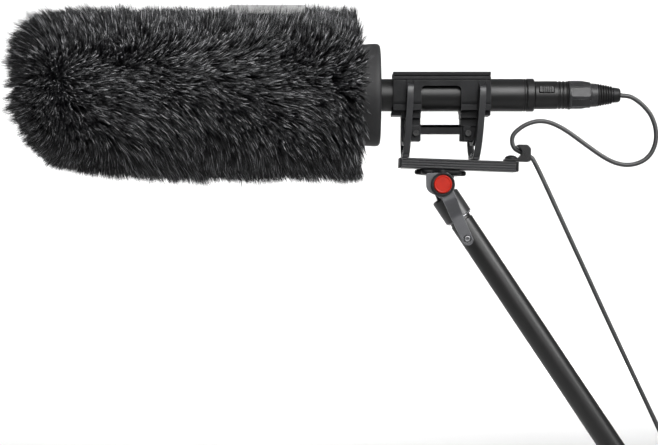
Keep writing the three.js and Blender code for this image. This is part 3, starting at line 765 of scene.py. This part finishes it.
class Waves:
    """A smooth random field over space: a sum of plane waves of about one wavelength."""

    def __init__(self, rng, wavelength, count=14):
        directions = rng.normal(size=(count, 3))
        directions /= np.linalg.norm(directions, axis=1)[:, None]
        lengths = wavelength * rng.uniform(0.7, 1.6, count)
        self.waves = directions * (2 * math.pi / lengths)[:, None]
        self.phases = rng.uniform(0, 2 * math.pi, (count, 3))

    def at(self, points):
        angles = points @ self.waves.T
        sums = [np.sin(angles + self.phases[:, k]).sum(1) for k in range(3)]
        return np.stack(sums, 1) / math.sqrt(len(self.waves) / 2)


def along_line(line, share):
    """Points at a share of the way along a list of points, by the list's own steps."""
    line = np.array(line, float)
    step = share * (len(line) - 1)
    i = np.clip(step.astype(int), 0, len(line) - 2)
    f = (step - i)[:, None]
    return line[i] * (1 - f) + line[i + 1] * f


def pile_shares(rng, count):
    """Places along the pile's lines, spread evenly over the area of the tips' surface."""
    shares = np.linspace(0, 1, 2000)
    tips = along_line(SIDE_TIPS, shares)
    lengths = np.linalg.norm(np.diff(tips, axis=0), axis=1)
    rings = np.cumsum(lengths * (tips[1:, 1] + tips[:-1, 1]) / 2 + 1e-4)
    area = np.concatenate([[0], rings])
    return np.interp(rng.random(count) * area[-1], area, shares)


def stand(rng, count):
    """The angles, roots and tips of strands all over the jacket, before any of them is bent."""
    shares = pile_shares(rng, count)
    angles = rng.uniform(0, 2 * math.pi, count)
    round_it = np.stack([np.cos(angles), np.sin(angles)], 1)
    crown, belly = smoothstep(0.2, 0.95, round_it[:, 1]), smoothstep(0.2, 0.95, -round_it[:, 1])
    lines = ((crown, CROWN_TIPS), (belly, BELLY_TIPS), (1 - crown - belly, SIDE_TIPS))
    ends = sum(share[:, None] * along_line(line, shares) for share, line in lines)
    roots, tips = (np.concatenate([line[:, :1], line[:, 1:] * round_it], 1)
                   for line in (along_line(PILE_ROOTS, shares), ends))
    tips[:, 2] -= COMB_DOWN * (1 - 0.85 * (crown + belly))
    return angles, roots, tips


def nearest(centres, points):
    """For each point, the number of its nearest centre."""
    tree = KDTree(len(centres))
    for i, centre in enumerate(centres):
        tree.insert(centre, i)
    tree.balance()
    return np.array([tree.find(point)[1] for point in points])


def gathered(rng, tips, size, least, most):
    """How far each tip is drawn towards the middle of its tuft, and the number of that tuft."""
    _, _, centres = stand(rng, int(PILE_AREA / size ** 2))
    owner = nearest(centres, tips)
    return (centres[owner] - tips) * rng.uniform(least, most, (len(tips), 1)), owner


def pile():
    """The strands' middles, as four points for each, with each strand's tone, width and sector."""
    rng = np.random.default_rng(7)
    wide, narrow, heights = (Waves(rng, size) for size in (48, 15, 22))
    angles, roots, tips = stand(rng, STRANDS)
    guard = rng.random(STRANDS) < GUARD_HAIRS
    straight = tips - roots
    length = np.linalg.norm(straight, axis=1)[:, None]
    tuft_pull, tuft = gathered(rng, tips, TUFT_SIZE, 0.0, 0.25)
    front = smoothstep(-255, -285, tips[:, 0])
    tuft_pull *= 1 + 2 * front[:, None]
    clump_pull, clump = gathered(rng, tips, CLUMP_SIZE, 0.1, 0.55)
    clumps = clump.max() + 1

    # How far a tip is combed, in millimetres: by swirls, and by its tuft, its clump and chance.
    shift = 1.6 * wide.at(tips) + 0.55 * narrow.at(tips) + tuft_pull + clump_pull
    shift += rng.normal(0, 0.7, (tuft.max() + 1, 3))[tuft] + rng.normal(0, 0.55, (clumps, 3))[clump]
    shift += rng.normal(0, 0.8, shift.shape)
    # A strand keeps its length: a tip that is combed sideways comes no further out for it.
    out = straight / length
    shift -= (shift * out).sum(1)[:, None] * out
    # How much longer or shorter it is than its line, as a share.
    reach = 0.04 * heights.at(tips)[:, 0] + rng.normal(0, 0.04, clumps)[clump]
    reach += (0.03 + 0.06 * front) * rng.normal(0, 1, tuft.max() + 1)[tuft]
    reach += np.where(guard, -0.12, -0.3) * rng.random(STRANDS) ** 1.5
    ends = tips + shift + straight * reach[:, None]
    curl = rng.normal(0, 0.4, shift.shape)
    middles = []
    for t in BENDS:
        middles.append(roots + straight * (1 + reach[:, None]) * t + shift * t ** 1.8
                       + curl * math.sin(math.pi * t))
    middles[-1] = ends
    tone = np.where(guard, 0.1 + rng.exponential(0.26, STRANDS), rng.exponential(0.07, STRANDS))
    tone += rng.normal(0, 0.05, clumps)[clump]
    width = np.where(guard, 1.25, 0.9) * rng.uniform(0.8, 1.2, STRANDS)
    sectors = (angles / (2 * math.pi) * SECTORS).astype(int)
    return np.stack(middles, 1), np.clip(tone, 0, 1), width, sectors


def strands(name, middles, tones, widths):
    """Closed three-sided strands that taper to a point, as one mesh."""
    count = len(middles)
    along = headings(middles)
    side = np.cross(along, np.array([0.31, 0.83, 0.46]))
    side /= np.linalg.norm(side, axis=2)[..., None]
    other = np.cross(along, side)
    rings = []
    for i, radius in enumerate(STRAND_RADII):
        for k in range(3):
            turn = 2 * math.pi * k / 3
            offset = math.cos(turn) * side[:, i] + math.sin(turn) * other[:, i]
            rings.append(middles[:, i] + radius * widths[:, None] * offset)
    points = np.stack([*rings, middles[:, 3]], 1)
    world = np.array(RIG)
    points = points @ world[:3, :3].T + world[:3, 3]

    edges = [(k, (k + 1) % 3) for k in range(3)]
    faces = [(ring + a, ring + b, ring + b + 3, ring + a + 3) for ring in (0, 3) for a, b in edges]
    faces += [(6 + a, 6 + b, 9) for a, b in edges]
    faces.append((2, 1, 0))
    sizes = [len(face) for face in faces]
    loops = np.array([corner for face in faces for corner in face])

    mesh = bpy.data.meshes.new(name)
    mesh.vertices.add(count * 10)
    mesh.vertices.foreach_set("co", points.astype(np.float32).ravel())
    indices = (loops[None, :] + 10 * np.arange(count)[:, None]).ravel()
    mesh.loops.add(len(indices))
    mesh.loops.foreach_set("vertex_index", indices.astype(np.int32))
    starts = np.concatenate([[0], np.cumsum(sizes)[:-1]])
    mesh.polygons.add(count * len(faces))
    all_starts = (starts[None, :] + len(loops) * np.arange(count)[:, None]).ravel()
    mesh.polygons.foreach_set("loop_start", all_starts.astype(np.int32))
    mesh.update(calc_edges=True)
    mesh.shade_smooth()

    # Strands of one tone share a column of the map: across it is the tone, and up it is root to tip.
    column = (np.floor(tones * (TONES - 1)) + 0.5) / TONES
    across = np.array([0.0, 0.15, 0.3])[loops % 3] / TONES
    heights = np.repeat(BENDS, 3)[loops] * 0.98 + 0.01
    uv = np.stack([(column[:, None] + across[None, :]).ravel(), np.tile(heights, count)], 1)
    layer = mesh.uv_layers.new(name=STRAND_MAP)
    layer.data.foreach_set("uv", uv.astype(np.float32).ravel())
    mesh.materials.append(MATERIALS["fur"])
    return added(name, mesh)


def fur_jacket():
    foam_low, foam_high = span("foam_body", RIG)
    wall = 0.9
    inner = foam_high.z + 0.35
    front = foam_low.x - 0.4
    rear = -57.5
    profile = [(rear, inner), (front + 10.4, inner), (front + 4.9, inner - 3.2), (front, 19.4),
               (front, 0)]
    inside = rounded(profile, 4, False, 5)
    outside = [(x - wall * 0.6, r + wall * 0.8) if r else (x - wall, 0) for x, r in inside]
    outside[0] = (rear, inner + wall)
    cloth = turned([*inside[::-1], *outside])
    piece(cloth, "fur_jacket", RIG, "backing")
    middles, tones, widths, sectors = pile()
    for i in range(SECTORS):
        mine = sectors == i
        tuft = strands(f"fur_pile_{i + 1}", middles[mine], tones[mine], widths[mine])
        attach(tuft, "windscreen")


def foam_body():
    low, high = span("foam_body", RIG)
    bore_end, bore = -200, 11.6
    profile = [(low.x, 0), (low.x, 19), (low.x + 5, 32.6), (low.x + 9.5, high.z), (high.x, high.z),
               (high.x, bore), (bore_end, bore), (bore_end, 0)]
    foam = piece(lathed(profile, 2.5, False), "foam_body", RIG, "foam")


def rear_cap():
    low, high = span("rear_cap", RIG)
    bore = 15.4
    radius = high.z
    profile = [(low.x, bore), (low.x, radius - 0.9), (high.x - 3, radius), (high.x - 0.9, radius - 0.6),
               (high.x, radius - 2.4), (high.x, bore + 2.6), (high.x - 0.7, bore + 1.2),
               (high.x - 0.7, bore)]
    piece(lathed(profile, 1.4, True, 6, 128), "rear_cap", RIG, "rubber", 50)
    kept("rubber", "mic_seal")


def label_tab():
    """A woven strip over the crown of the jacket. Its near end dips into the pile."""
    low, high = span("label_tab", RIG)
    start, end = (math.radians(turn) for turn in (65, 106))
    mean_radius, thickness = 61, 0.5
    top = []
    for share in np.linspace(0, 1, 41):
        turn = start + (end - start) * share
        wave = 0.25 * math.sin(5 * share)
        radius = 62.2 + wave - 2.4 * (1 - share) ** 2 - 6.5 * share ** 4
        top.append((radius * math.cos(turn), radius * math.sin(turn)))
    shrink = 1 - thickness / mean_radius
    under = [(a * shrink, b * shrink) for a, b in top]
    strip = softened(prism([*top, *under[::-1]], low.x, high.x, "x"), 0.15, 1)
    piece(strip, "label_tab", RIG, "label")


foam_body()
fur_jacket()
rear_cap()
label_tab()


# ---- microphone and plug ----
LATCH_ANGLE = 20  # above the horizontal, on the near side


def microphone():
    low, high = span("mic_body", RIG)
    bore = 9.6
    radius = high.z
    grooves = []
    for x in (-48, high.x - 1.6):
        grooves += groove(x, radius, 0.6, 0.25, 0.15)
    profile = [(low.x, bore), (low.x, radius), *grooves, (high.x, radius), (high.x, bore)]
    piece(lathed(profile, 0.2, True, 2), "mic_body", RIG, "barrel")

    low, high = span("mic_collar", RIG)
    outer = radius + 0.15
    profile = [(low.x, 9.1), (low.x, outer - 0.3), (low.x + 0.5, outer - 0.3), (low.x + 0.7, outer),
               (high.x - 0.6, outer), (high.x, outer - 0.5), (high.x, 9.1)]
    piece(lathed(profile, 0.25), "mic_collar", RIG, "barrel")
    kept("barrel", "interference_tube", "front_grille")
    kept("steel", "capsule")
    kept("board", "circuit_board")
    kept("contacts", "pin_insert")
    kept("plastic", "plug_insert")


def near_plug():
    low, high = span("plug_shell", RIG)
    radius = high.z
    inner, nose, step = 7.5, 8.7, 61.3
    grooves = []
    for x in (76.6, 79.1, 81.6):
        grooves += groove(x, radius, 1.2, 0.45, 0.25)
    profile = [(low.x, inner), (low.x, nose), (step, nose), (step, radius), *grooves,
               (high.x, radius), (high.x, inner)]
    shell = lathed(profile, 0.3)
    window = moved(prism(box_outline(63.6, -2.5, 74, 2.5, 0.6), 5, 12, "z"), turn=90 - LATCH_ANGLE)
    piece(softened(cut(shell, window), 0.15), "plug_shell", RIG, "barrel")

    latch_low, latch_high = 64, 73.6
    button = prism(box_outline(latch_low, -2.1, latch_high, 2.1, 0.8), 7.9, 9.75, "z")
    slots = [block(x, x + 0.5, -3, 3, 9.45, 11) for x in (66, 67.4, 68.8, 70.2, 71.6)]
    button = softened(cut(button, *slots), 0.12, 1)
    piece(moved(button, turn=90 - LATCH_ANGLE), "latch_button", RIG, "barrel")

    low, high = span("plug_grip", RIG)
    piece(plug_grip(low.x, high.x, high.z), "plug_grip", RIG, "grip")


# ---- cradle ----
BORE = 12.3  # round the microphone
SLEEVE_TOP, SLEEVE_BOTTOM, SLEEVE_HALF = 9.2, -12.6, 13.6
WINDOW = (-15.5, 11, 5.2)  # front, rear and top


def cradle():
    foot = span("cradle_frame", RIG)[0].z
    rail_low, rail_high = span("top_rail", RIG)
    front, rear = rail_low.x, rail_high.x
    corner, knee = SLEEVE_HALF - 8, SLEEVE_BOTTOM + 8
    outline = [(-SLEEVE_HALF, SLEEVE_TOP), *arc(-corner, knee, 8, 180, 270),
               *arc(corner, knee, 8, 270, 360), (SLEEVE_HALF, SLEEVE_TOP)]
    sleeve = prism(outline, front, rear, "x")
    band = prism(box_outline(-14.2, -11.1, 14.2, -7.4, 0.4), front, rear, "x")
    window = prism(box_outline(WINDOW[0], -30, WINDOW[1], WINDOW[2], 3), -30, 30, "y")

    def bore():
        return turned([(-60, 0), (-60, BORE), (60, BORE), (60, 0)])

    # Blocks under the sleeve: front, rear, half width, bottom and top.
    posts = [(-28.5, -15.6, 9, -16, -10.6), (-28.5, -15.6, 5, -21.4, -15), (-28.5, -21.9, 4, foot, -21),
             (-21.9, -15.6, 6.5, foot, -21), (11.1, 24.5, 9, -16, -10.6), (11.1, 24.5, 5, -21.4, -15),
             (11.1, 24.5, 4, foot, -21), (13, 18, 6.5, foot, -21), (-16, 11.5, 3.2, -26.4, -20.1),
             (-35.2, -28, 8, -14.2, -11.4), (24, 31.2, 8, -14.2, -11.4)]
    blocks = [softened(block(x0, x1, -half, half, z0, z1), 0.35) for x0, x1, half, z0, z1 in posts]
    clips = cut(joined(sleeve, band), window)
    holes = [rod(x, -26, 1.5, -8, 8, "y", 24) for x in (-18.7, 16.2)]
    frame_solid = softened(cut(joined(clips, *blocks), bore(), *holes), 0.3)
    piece(frame_solid, "cradle_frame", RIG, "plastic")
    kept("rubber", "clip_liner_front", "clip_liner_rear")

    half = [(13.2, rail_low.z), (13.2, 11.1), (11.4, 11.3), (11.4, 12.4), (12.6, 12.6),
            (12.6, rail_high.z), (4.6, rail_high.z), (4.6, rail_high.z - 1.3)]
    rail = prism(mirrored(half), front, rear, "x")
    piece(softened(cut(rail, bore()), 0.22), "top_rail", RIG, "plastic")

    line = [(-8.3, 0), (-8.3, 2), (-7.9, 2.4), (-6.8, 2.4), (-6.8, 1.2), (6, 1.2), (6, 0)]
    for name, x in (("front", -18.7), ("rear", 16.2)):
        screw = moved(turned(line, 32), x, 0, -26, turn=90, axis="Z")
        socket = prism(hexagon(x, -26, 1.2), -8.6, -7.4, "y")
        piece(cut(screw, socket), f"cradle_screw_{name}", RIG, "barrel")


# ---- suspension ----
def lyre(name, x, top, pad_top, twist):
    """A bent strip: its arms rise from the foot, fold over, and come down to the cradle's pad."""
    node = f"lyre_{name}"
    low, _ = span(node, BAR)
    foot = low.z
    width, thick = 4.4, 2.3
    half = width / 2
    side_line = [
        (6.2, foot + 1.6), (10.6, foot + 6), (15.2, 20), (18.6, 35), (20.2, top - 7), (19.9, top - 2),
        (18.2, top - 0.4), (16.9, top - 2.4), (16.4, top - 9), (15.8, 32), (11.5, pad_top + 6),
        (4, pad_top - 1.3)]
    arms = []
    for side in (1, -1):
        line = through([(side * y, z) for y, z in side_line], 6)
        across = headings(line)[:, ::-1] * (-thick / 2, thick / 2)
        outline = [*map(tuple, line + across), *map(tuple, (line - across)[::-1])]
        arms.append(prism(outline, -half, half, "x"))
    pads = [block(-half, half, -8.4, 8.4, foot, foot + 2.6),
            block(-half, half, -5, 5, pad_top - 2.5, pad_top)]
    strip = moved(softened(joined(*arms, *pads), 0.45, 2, 40), x, turn=twist, axis="Z")
    piece(strip, node, BAR, "spring", 50, ride=False)
    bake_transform(strip)

    profile = [(foot + 2.8, 0), (foot + 2.8, 2.3), (foot + 4.6, 2.1), (foot + 4.6, 0)]
    head = moved(lathed(profile, 0.4, False, segments=32), x, turn=-90, axis="Y")
    socket = prism(hexagon(x, 0, 1.2), foot + 3.6, foot + 6, "z")
    piece(cut(head, socket), f"lyre_screw_{name}", BAR, "steel")


def bar():
    low, high = span("bar", BAR)
    width, height = high.y, high.z
    side = [(width - 0.5, -height), (width, -height + 0.5)]
    for z in (-1.7, 0, 1.7):
        side += [(width, z - 0.45), (width - 0.45, z - 0.15), (width - 0.45, z + 0.15), (width, z + 0.45)]
    side += [(width, height - 0.5), (width - 0.5, height)]
    half = [*side, (2.4, height), (2.4, height - 0.5)]
    piece(softened(prism(mirrored(half), low.x, high.x, "x"), 0.12, 1), "bar", BAR, "extrusion", 30)
    for name in ("front", "rear"):
        low, high = span(f"bar_end_{name}", BAR)
        plug = prism(box_outline(low.y, low.z, high.y, high.z, 0.8), low.x, high.x, "x")
        piece(softened(plug, 0.3), f"bar_end_{name}", BAR, "plastic")


CLIP_SCREW = 35.8
CLIP_PASSAGE = [(37.9, 12.7), (41.5, 10.5), (43.9, 9.5), (45.5, 8.9), (48.8, 7.2), (51.5, 4.2)]


def cable_clip():
    """A bent clip under a domed screw. The cord goes through it."""
    low, high = span("cable_clip", BAR)
    base = low.z
    hook = [(low.x, base), (47.6, base), (high.x, base + 1), (high.x, 12.8), (46.2, high.z), (40, 15.2),
            (38.8, 14.4), (41, 12.6), (42.2, 10.8), (42.4, 9.2), (41.6, 7.6), (40.2, 6.4),
            (40.2, base + 1.6), (low.x, base + 1.6)]
    screw_hole = rod(CLIP_SCREW, 0, 1.7, 0, 9, "z", 24)
    cord_hole, _ = tube(CLIP_PASSAGE, BAR, CORD_RADIUS + 0.1)
    clip = cut(prism(rounded(hook, 0.8, True), low.y, high.y, "y"), screw_hole, cord_hole)
    piece(softened(clip, 0.45), "cable_clip", BAR, "boot_rubber")
    profile = [(5.6, 0), (5.6, 4.4), (6.3, 4.2), (7.3, 3.1), (7.9, 1.4), (7.9, 0)]
    dome = moved(lathed(profile, 0.5, False, segments=48), CLIP_SCREW, turn=-90, axis="Y")
    socket = prism(hexagon(CLIP_SCREW, 0, 1.3), 7, 9, "z")
    piece(cut(dome, socket), "clip_screw", BAR, "barrel")


# ---- swivel ----
NECK_X = -11.7
BOLT_HOLE = 3.2
CHEEK_INNER, CHEEK_OUTER = 5.1, 9.2


def lock_ring():
    low, high = span("lock_ring", BAR)
    lobes, mean_radius, wave = 8, 16.1, 1.3
    outer = []
    for i in range(lobes * 20):
        turn = 2 * math.pi * i / (lobes * 20)
        radius = mean_radius + wave * math.cos(lobes * turn)
        outer.append((NECK_X + radius * math.cos(turn), radius * math.sin(turn)))
    rim = softened(prism(outer, low.z, high.z, "z"), 1.5, 4, 60)
    hole = rod(NECK_X, 0, 8.9, low.z - 1, high.z + 1, "z", 96)
    piece(cut(rim, hole), "lock_ring", BAR, "plastic")


def swivel_head():
    pivot = BAR.inverted() @ Vector(JOINTS["head_tilt"]["pos_m"])
    px, pz = pivot.x, pivot.z
    low, high = span("swivel_head", BAR)
    top = -7.7
    neck = rod(NECK_X, 0, 8.6, top - 1, high.z, "z")
    flange = block(px - 9, px + 8.4, low.y, high.y, top - 1.6, top)
    cheek = [*arc(px, pz, 7.2, 180, 360, 32), (px + 7.2, top - 0.5), (px - 7.2, top - 0.5)]
    cheeks = [prism(cheek, *sorted((side * CHEEK_INNER, side * CHEEK_OUTER)), "y") for side in (-1, 1)]
    slots = [rod(px, pz, 6.2, -CHEEK_INNER, CHEEK_INNER, "y"),
             block(px - 12, px + 12, -CHEEK_INNER, CHEEK_INNER, pz - 9, pz),
             rod(px, pz, BOLT_HOLE, -12, 12, "y"), rod(NECK_X, 0, 4.3, -7.1, 0, "z")]
    piece(softened(cut(joined(neck, flange, *cheeks), *slots), 0.4), "swivel_head", BAR, "paint")
    kept("steel", "mount_stud", "friction_washer_near", "friction_washer_far")


LEVER_SCREW = 40


def lever():
    head = [(-11, 7.4), (-11, -1.6), (-9.8, -4.4), (-7, -6.4), (-3.4, -7.6), (-1.6, -9.6), (8.2, -3),
            *arc(0, 0, 8.2, -20, 63, 12), (3, 7.8)]
    fan = moved(prism(rounded(head, 1.6, True, 4), -40, 0, "y"), turn=-LEVER_ANGLE, axis="Y")
    tip = LEVER_SCREW + 1
    arm = prism([(4, 4.9), (4, -4.9), (14, -4.3), *arc(tip, 0, 3.6, -90, 90, 16), (14, 4.4)], -40, 0, "y")
    crank = [(-15, -18.2), (12, -18.2), (21, -10.3), (50, -10.3), (50, -13.1), (22, -13.1),
             (13, -21), (-15, -21)]
    plate = combined("INTERSECT", joined(fan, arm), [prism(rounded(crank, 2.5, True, 5), -20, 20, "z")])
    hub = rod(0, 0, 5.4, -18.5, -9.9, "y")
    bolt = rod(0, 0, BOLT_HOLE, -16, 0, "y")
    screw_hole = rod(LEVER_SCREW, 0, 2.5, -20, 0, "y", 32)
    piece(softened(cut(joined(plate, hub), bolt, screw_hole), 0.35), "lock_lever", LEVER, "paint")

    face = -21.3
    boss = lathed([(0, 6.5), (0, 7.9), (1.3, 7.9), (1.3, 6.5)], 0.4)
    piece(moved(boss, y=face, turn=-90, axis="Z"), "lever_boss", LEVER, "plastic")
    line = [(0, 0), (0, 6.05), (2.1, 6.05), (2.7, 5.5), (2.6, 5.1), (2.35, 4.8), (2.35, 0)]
    cap = lathed(line, 0.35, False, 4)
    piece(moved(cap, y=face, turn=-90, axis="Z"), "red_cap", LEVER, "red", 60)
    line = [(0, 0), (0, 1.4), (1.2, 2.2), (3.1, 2.2), (3.6, 1.8), (3.6, 0)]
    screw = moved(lathed(line, 0.2, False, segments=32), LEVER_SCREW, -10.3, turn=-90, axis="Z")
    socket = prism(hexagon(LEVER_SCREW, 0, 1.5), -16, -11.8, "y")
    piece(cut(screw, socket), "lever_screw", LEVER, "dark_steel")


# ---- pole ----
def pole():
    ferrule_start, ferrule_end, radius, spigot = 7.5, 25.1, 9.7, 6.5
    tongue = [*arc(0, -POLE_OFFSET, 5.9, 90, 270, 24), (ferrule_start + 1, -6), (ferrule_start + 1, 6.2)]
    profile = [(ferrule_start, 0), (ferrule_start, radius - 1), (ferrule_start + 1, radius),
               (ferrule_end, radius), (ferrule_end, spigot), (43, spigot), (43, 0)]
    socket = joined(lathed(profile, 0.5, False), prism(tongue, -4, 4, "y"))
    socket = cut(socket, rod(0, -POLE_OFFSET, BOLT_HOLE, -20, 20, "y"))
    piece(softened(socket, 0.25), "pole_socket", POLE_AXIS, "ferrule")
    low, high = span("groove_ring", POLE_AXIS)
    profile = [(low.x, 6.8), (low.x, high.z), (high.x, high.z), (high.x, 6.8)]
    piece(lathed(profile, 0.15), "groove_ring", POLE_AXIS, "dark_steel")

    low, high = span("pole_tube", POLE_AXIS)
    profile = [(low.x, 6.9), (low.x, 7.5), (low.x + 1.8, 7.5), (low.x + 2, high.z),
               (high.x, high.z), (high.x, 6.9)]
    piece(lathed(profile, 0.3, segments=128), "pole_tube", POLE_AXIS, "pole_lacquer")
    low, high = span("pole_end_cap", POLE_AXIS)
    rim = high.x - 6
    profile = [(low.x, 0), (low.x, 5.6), (low.x + 1, 6.5), (rim, 6.5), (rim, 9.2), (high.x, 9.2),
               (high.x - 0.4, 5), (high.x, 4.4), (high.x, 0)]
    piece(lathed(profile, 0.7, False, 4), "pole_end_cap", POLE_AXIS, "plastic")

    low, high = span("pivot_nut", POLE)
    nut = cut(prism(hexagon(0, 0, 5.6), low.y, high.y, "y"), rod(0, 0, BOLT_HOLE, 0, 20, "y"))
    piece(softened(nut, 0.4), "pivot_nut", POLE, "barrel")
    low, high = span("pivot_bolt", POLE)
    bolt = lathed([(low.y, 0), (low.y, 2.9), (high.y, 2.9), (high.y, 0)], 0.5, False, segments=48)
    piece(moved(bolt, turn=90, axis="Z"), "pivot_bolt", POLE, "steel")


def cable_tie():
    """A strap round the pole and the far plug: two arcs joined by their outer tangents."""
    low, high = span("cable_tie", POLE)
    pole_radius, plug_radius = 8.1, 9.4

    def belt(spread):
        lean = math.degrees(math.acos((pole_radius - plug_radius) / (FAR_PLUG_OFFSET - POLE_OFFSET)))
        return [*arc(0, POLE_OFFSET, pole_radius + spread, 90 + lean, 450 - lean, 40),
                *arc(0, FAR_PLUG_OFFSET, plug_radius + spread, 90 - lean, 90 + lean, 40)]

    tape = cut(prism(belt(1.6), low.x, high.x, "x"), prism(belt(0.4), low.x - 1, high.x + 1, "x"))
    piece(softened(tape, 0.3), "cable_tie", POLE, "strap")


microphone()
near_plug()
cradle()
lyre("front", x=-35.9, top=51.4, pad_top=14.4, twist=3)
lyre("rear", x=10.7, top=52.2, pad_top=15.9, twist=7)
bar()
cable_clip()
lock_ring()
swivel_head()
lever()
pole()
cable_tie()


# ---- studio ----
@material(0.95, specular=0.1)
def paper(made):
    """Matt white paper."""
    made.colour(made.tones(made.noise(0.4), 0.86, 0.9, 0.3, 0.7))


def sweep():
    """A pale floor that curves up into a wall."""
    floor = cad_box[0].z - 0.001
    near, far, bend, wide, tall = -3.6, 3.0, 0.6, 4.5, 3.4
    profile = [(near, floor), *arc(far, floor + bend, bend, -90, 0, 24), (far + bend, tall)]
    points = [(MIDDLE.x + side * wide, y, z) for y, z in profile for side in (-1, 1)]
    faces = [(2 * i, 2 * i + 1, 2 * i + 3, 2 * i + 2) for i in range(len(profile) - 1)]
    made = solid("studio_floor", points, faces)
    made.data.shade_smooth()
    made.data.materials.append(MATERIALS["paper"])


def surroundings():
    """An even grey, dim below and paler above."""
    world = bpy.data.worlds.new("studio")
    world.use_nodes = True
    tree = world.node_tree
    where, split, ramp = (tree.nodes.new("ShaderNode" + kind)
                          for kind in ("TexCoord", "SeparateXYZ", "ValToRGB"))
    for element, grey in zip(ramp.color_ramp.elements, (0.13, 0.32)):
        element.color = (grey, grey, grey, 1)
    tree.links.new(where.outputs["Generated"], split.inputs[0])
    tree.links.new(split.outputs["Z"], ramp.inputs[0])
    tree.links.new(ramp.outputs[0], tree.nodes["Background"].inputs["Color"])
    bpy.context.scene.world = world


def area(name, at, size, power, spread, towards=(0, 0, 0)):
    """A soft rectangular lamp. Places are in metres from the middle of the object."""
    light = bpy.data.lights.new(name, "AREA")
    light.shape = "RECTANGLE"
    light.size, light.size_y = size
    light.energy = power
    light.spread = math.radians(spread)
    lamp = added(name, light)
    lamp.location = MIDDLE + Vector(at)
    direction = Vector(towards) - Vector(at)
    lamp.rotation_euler = direction.to_track_quat("-Z", "Y").to_euler()
    lamp.visible_camera = False


MIDDLE = Vector(((cad_box[0].x + cad_box[1].x) / 2, 0, 0.35))  # of the object, which lamps aim at
sweep()
surroundings()
area("key", (0.35, -1.15, 0.8), (0.8, 0.9), 4.2, 50)
area("side", (1.15, -0.8, 0.75), (0.5, 0.8), 2.5, 50, (0.1, 0, 0))
area("fill", (0.1, -1.3, 0.32), (0.8, 0.4), 0.8, 50)
area("overhead", (0, 0.1, 1.3), (1.6, 0.8), 0.1, 90)
area("wall_wash", (0, 1.9, 1.7), (4.5, 0.5), 46, 120, (0, 3.3, -0.3))
area("floor_wash", (0, 2.0, 1.6), (4.5, 0.5), 21, 76, (0, 1.9, -0.4))
bpy.context.scene.view_settings.view_transform = "Standard"
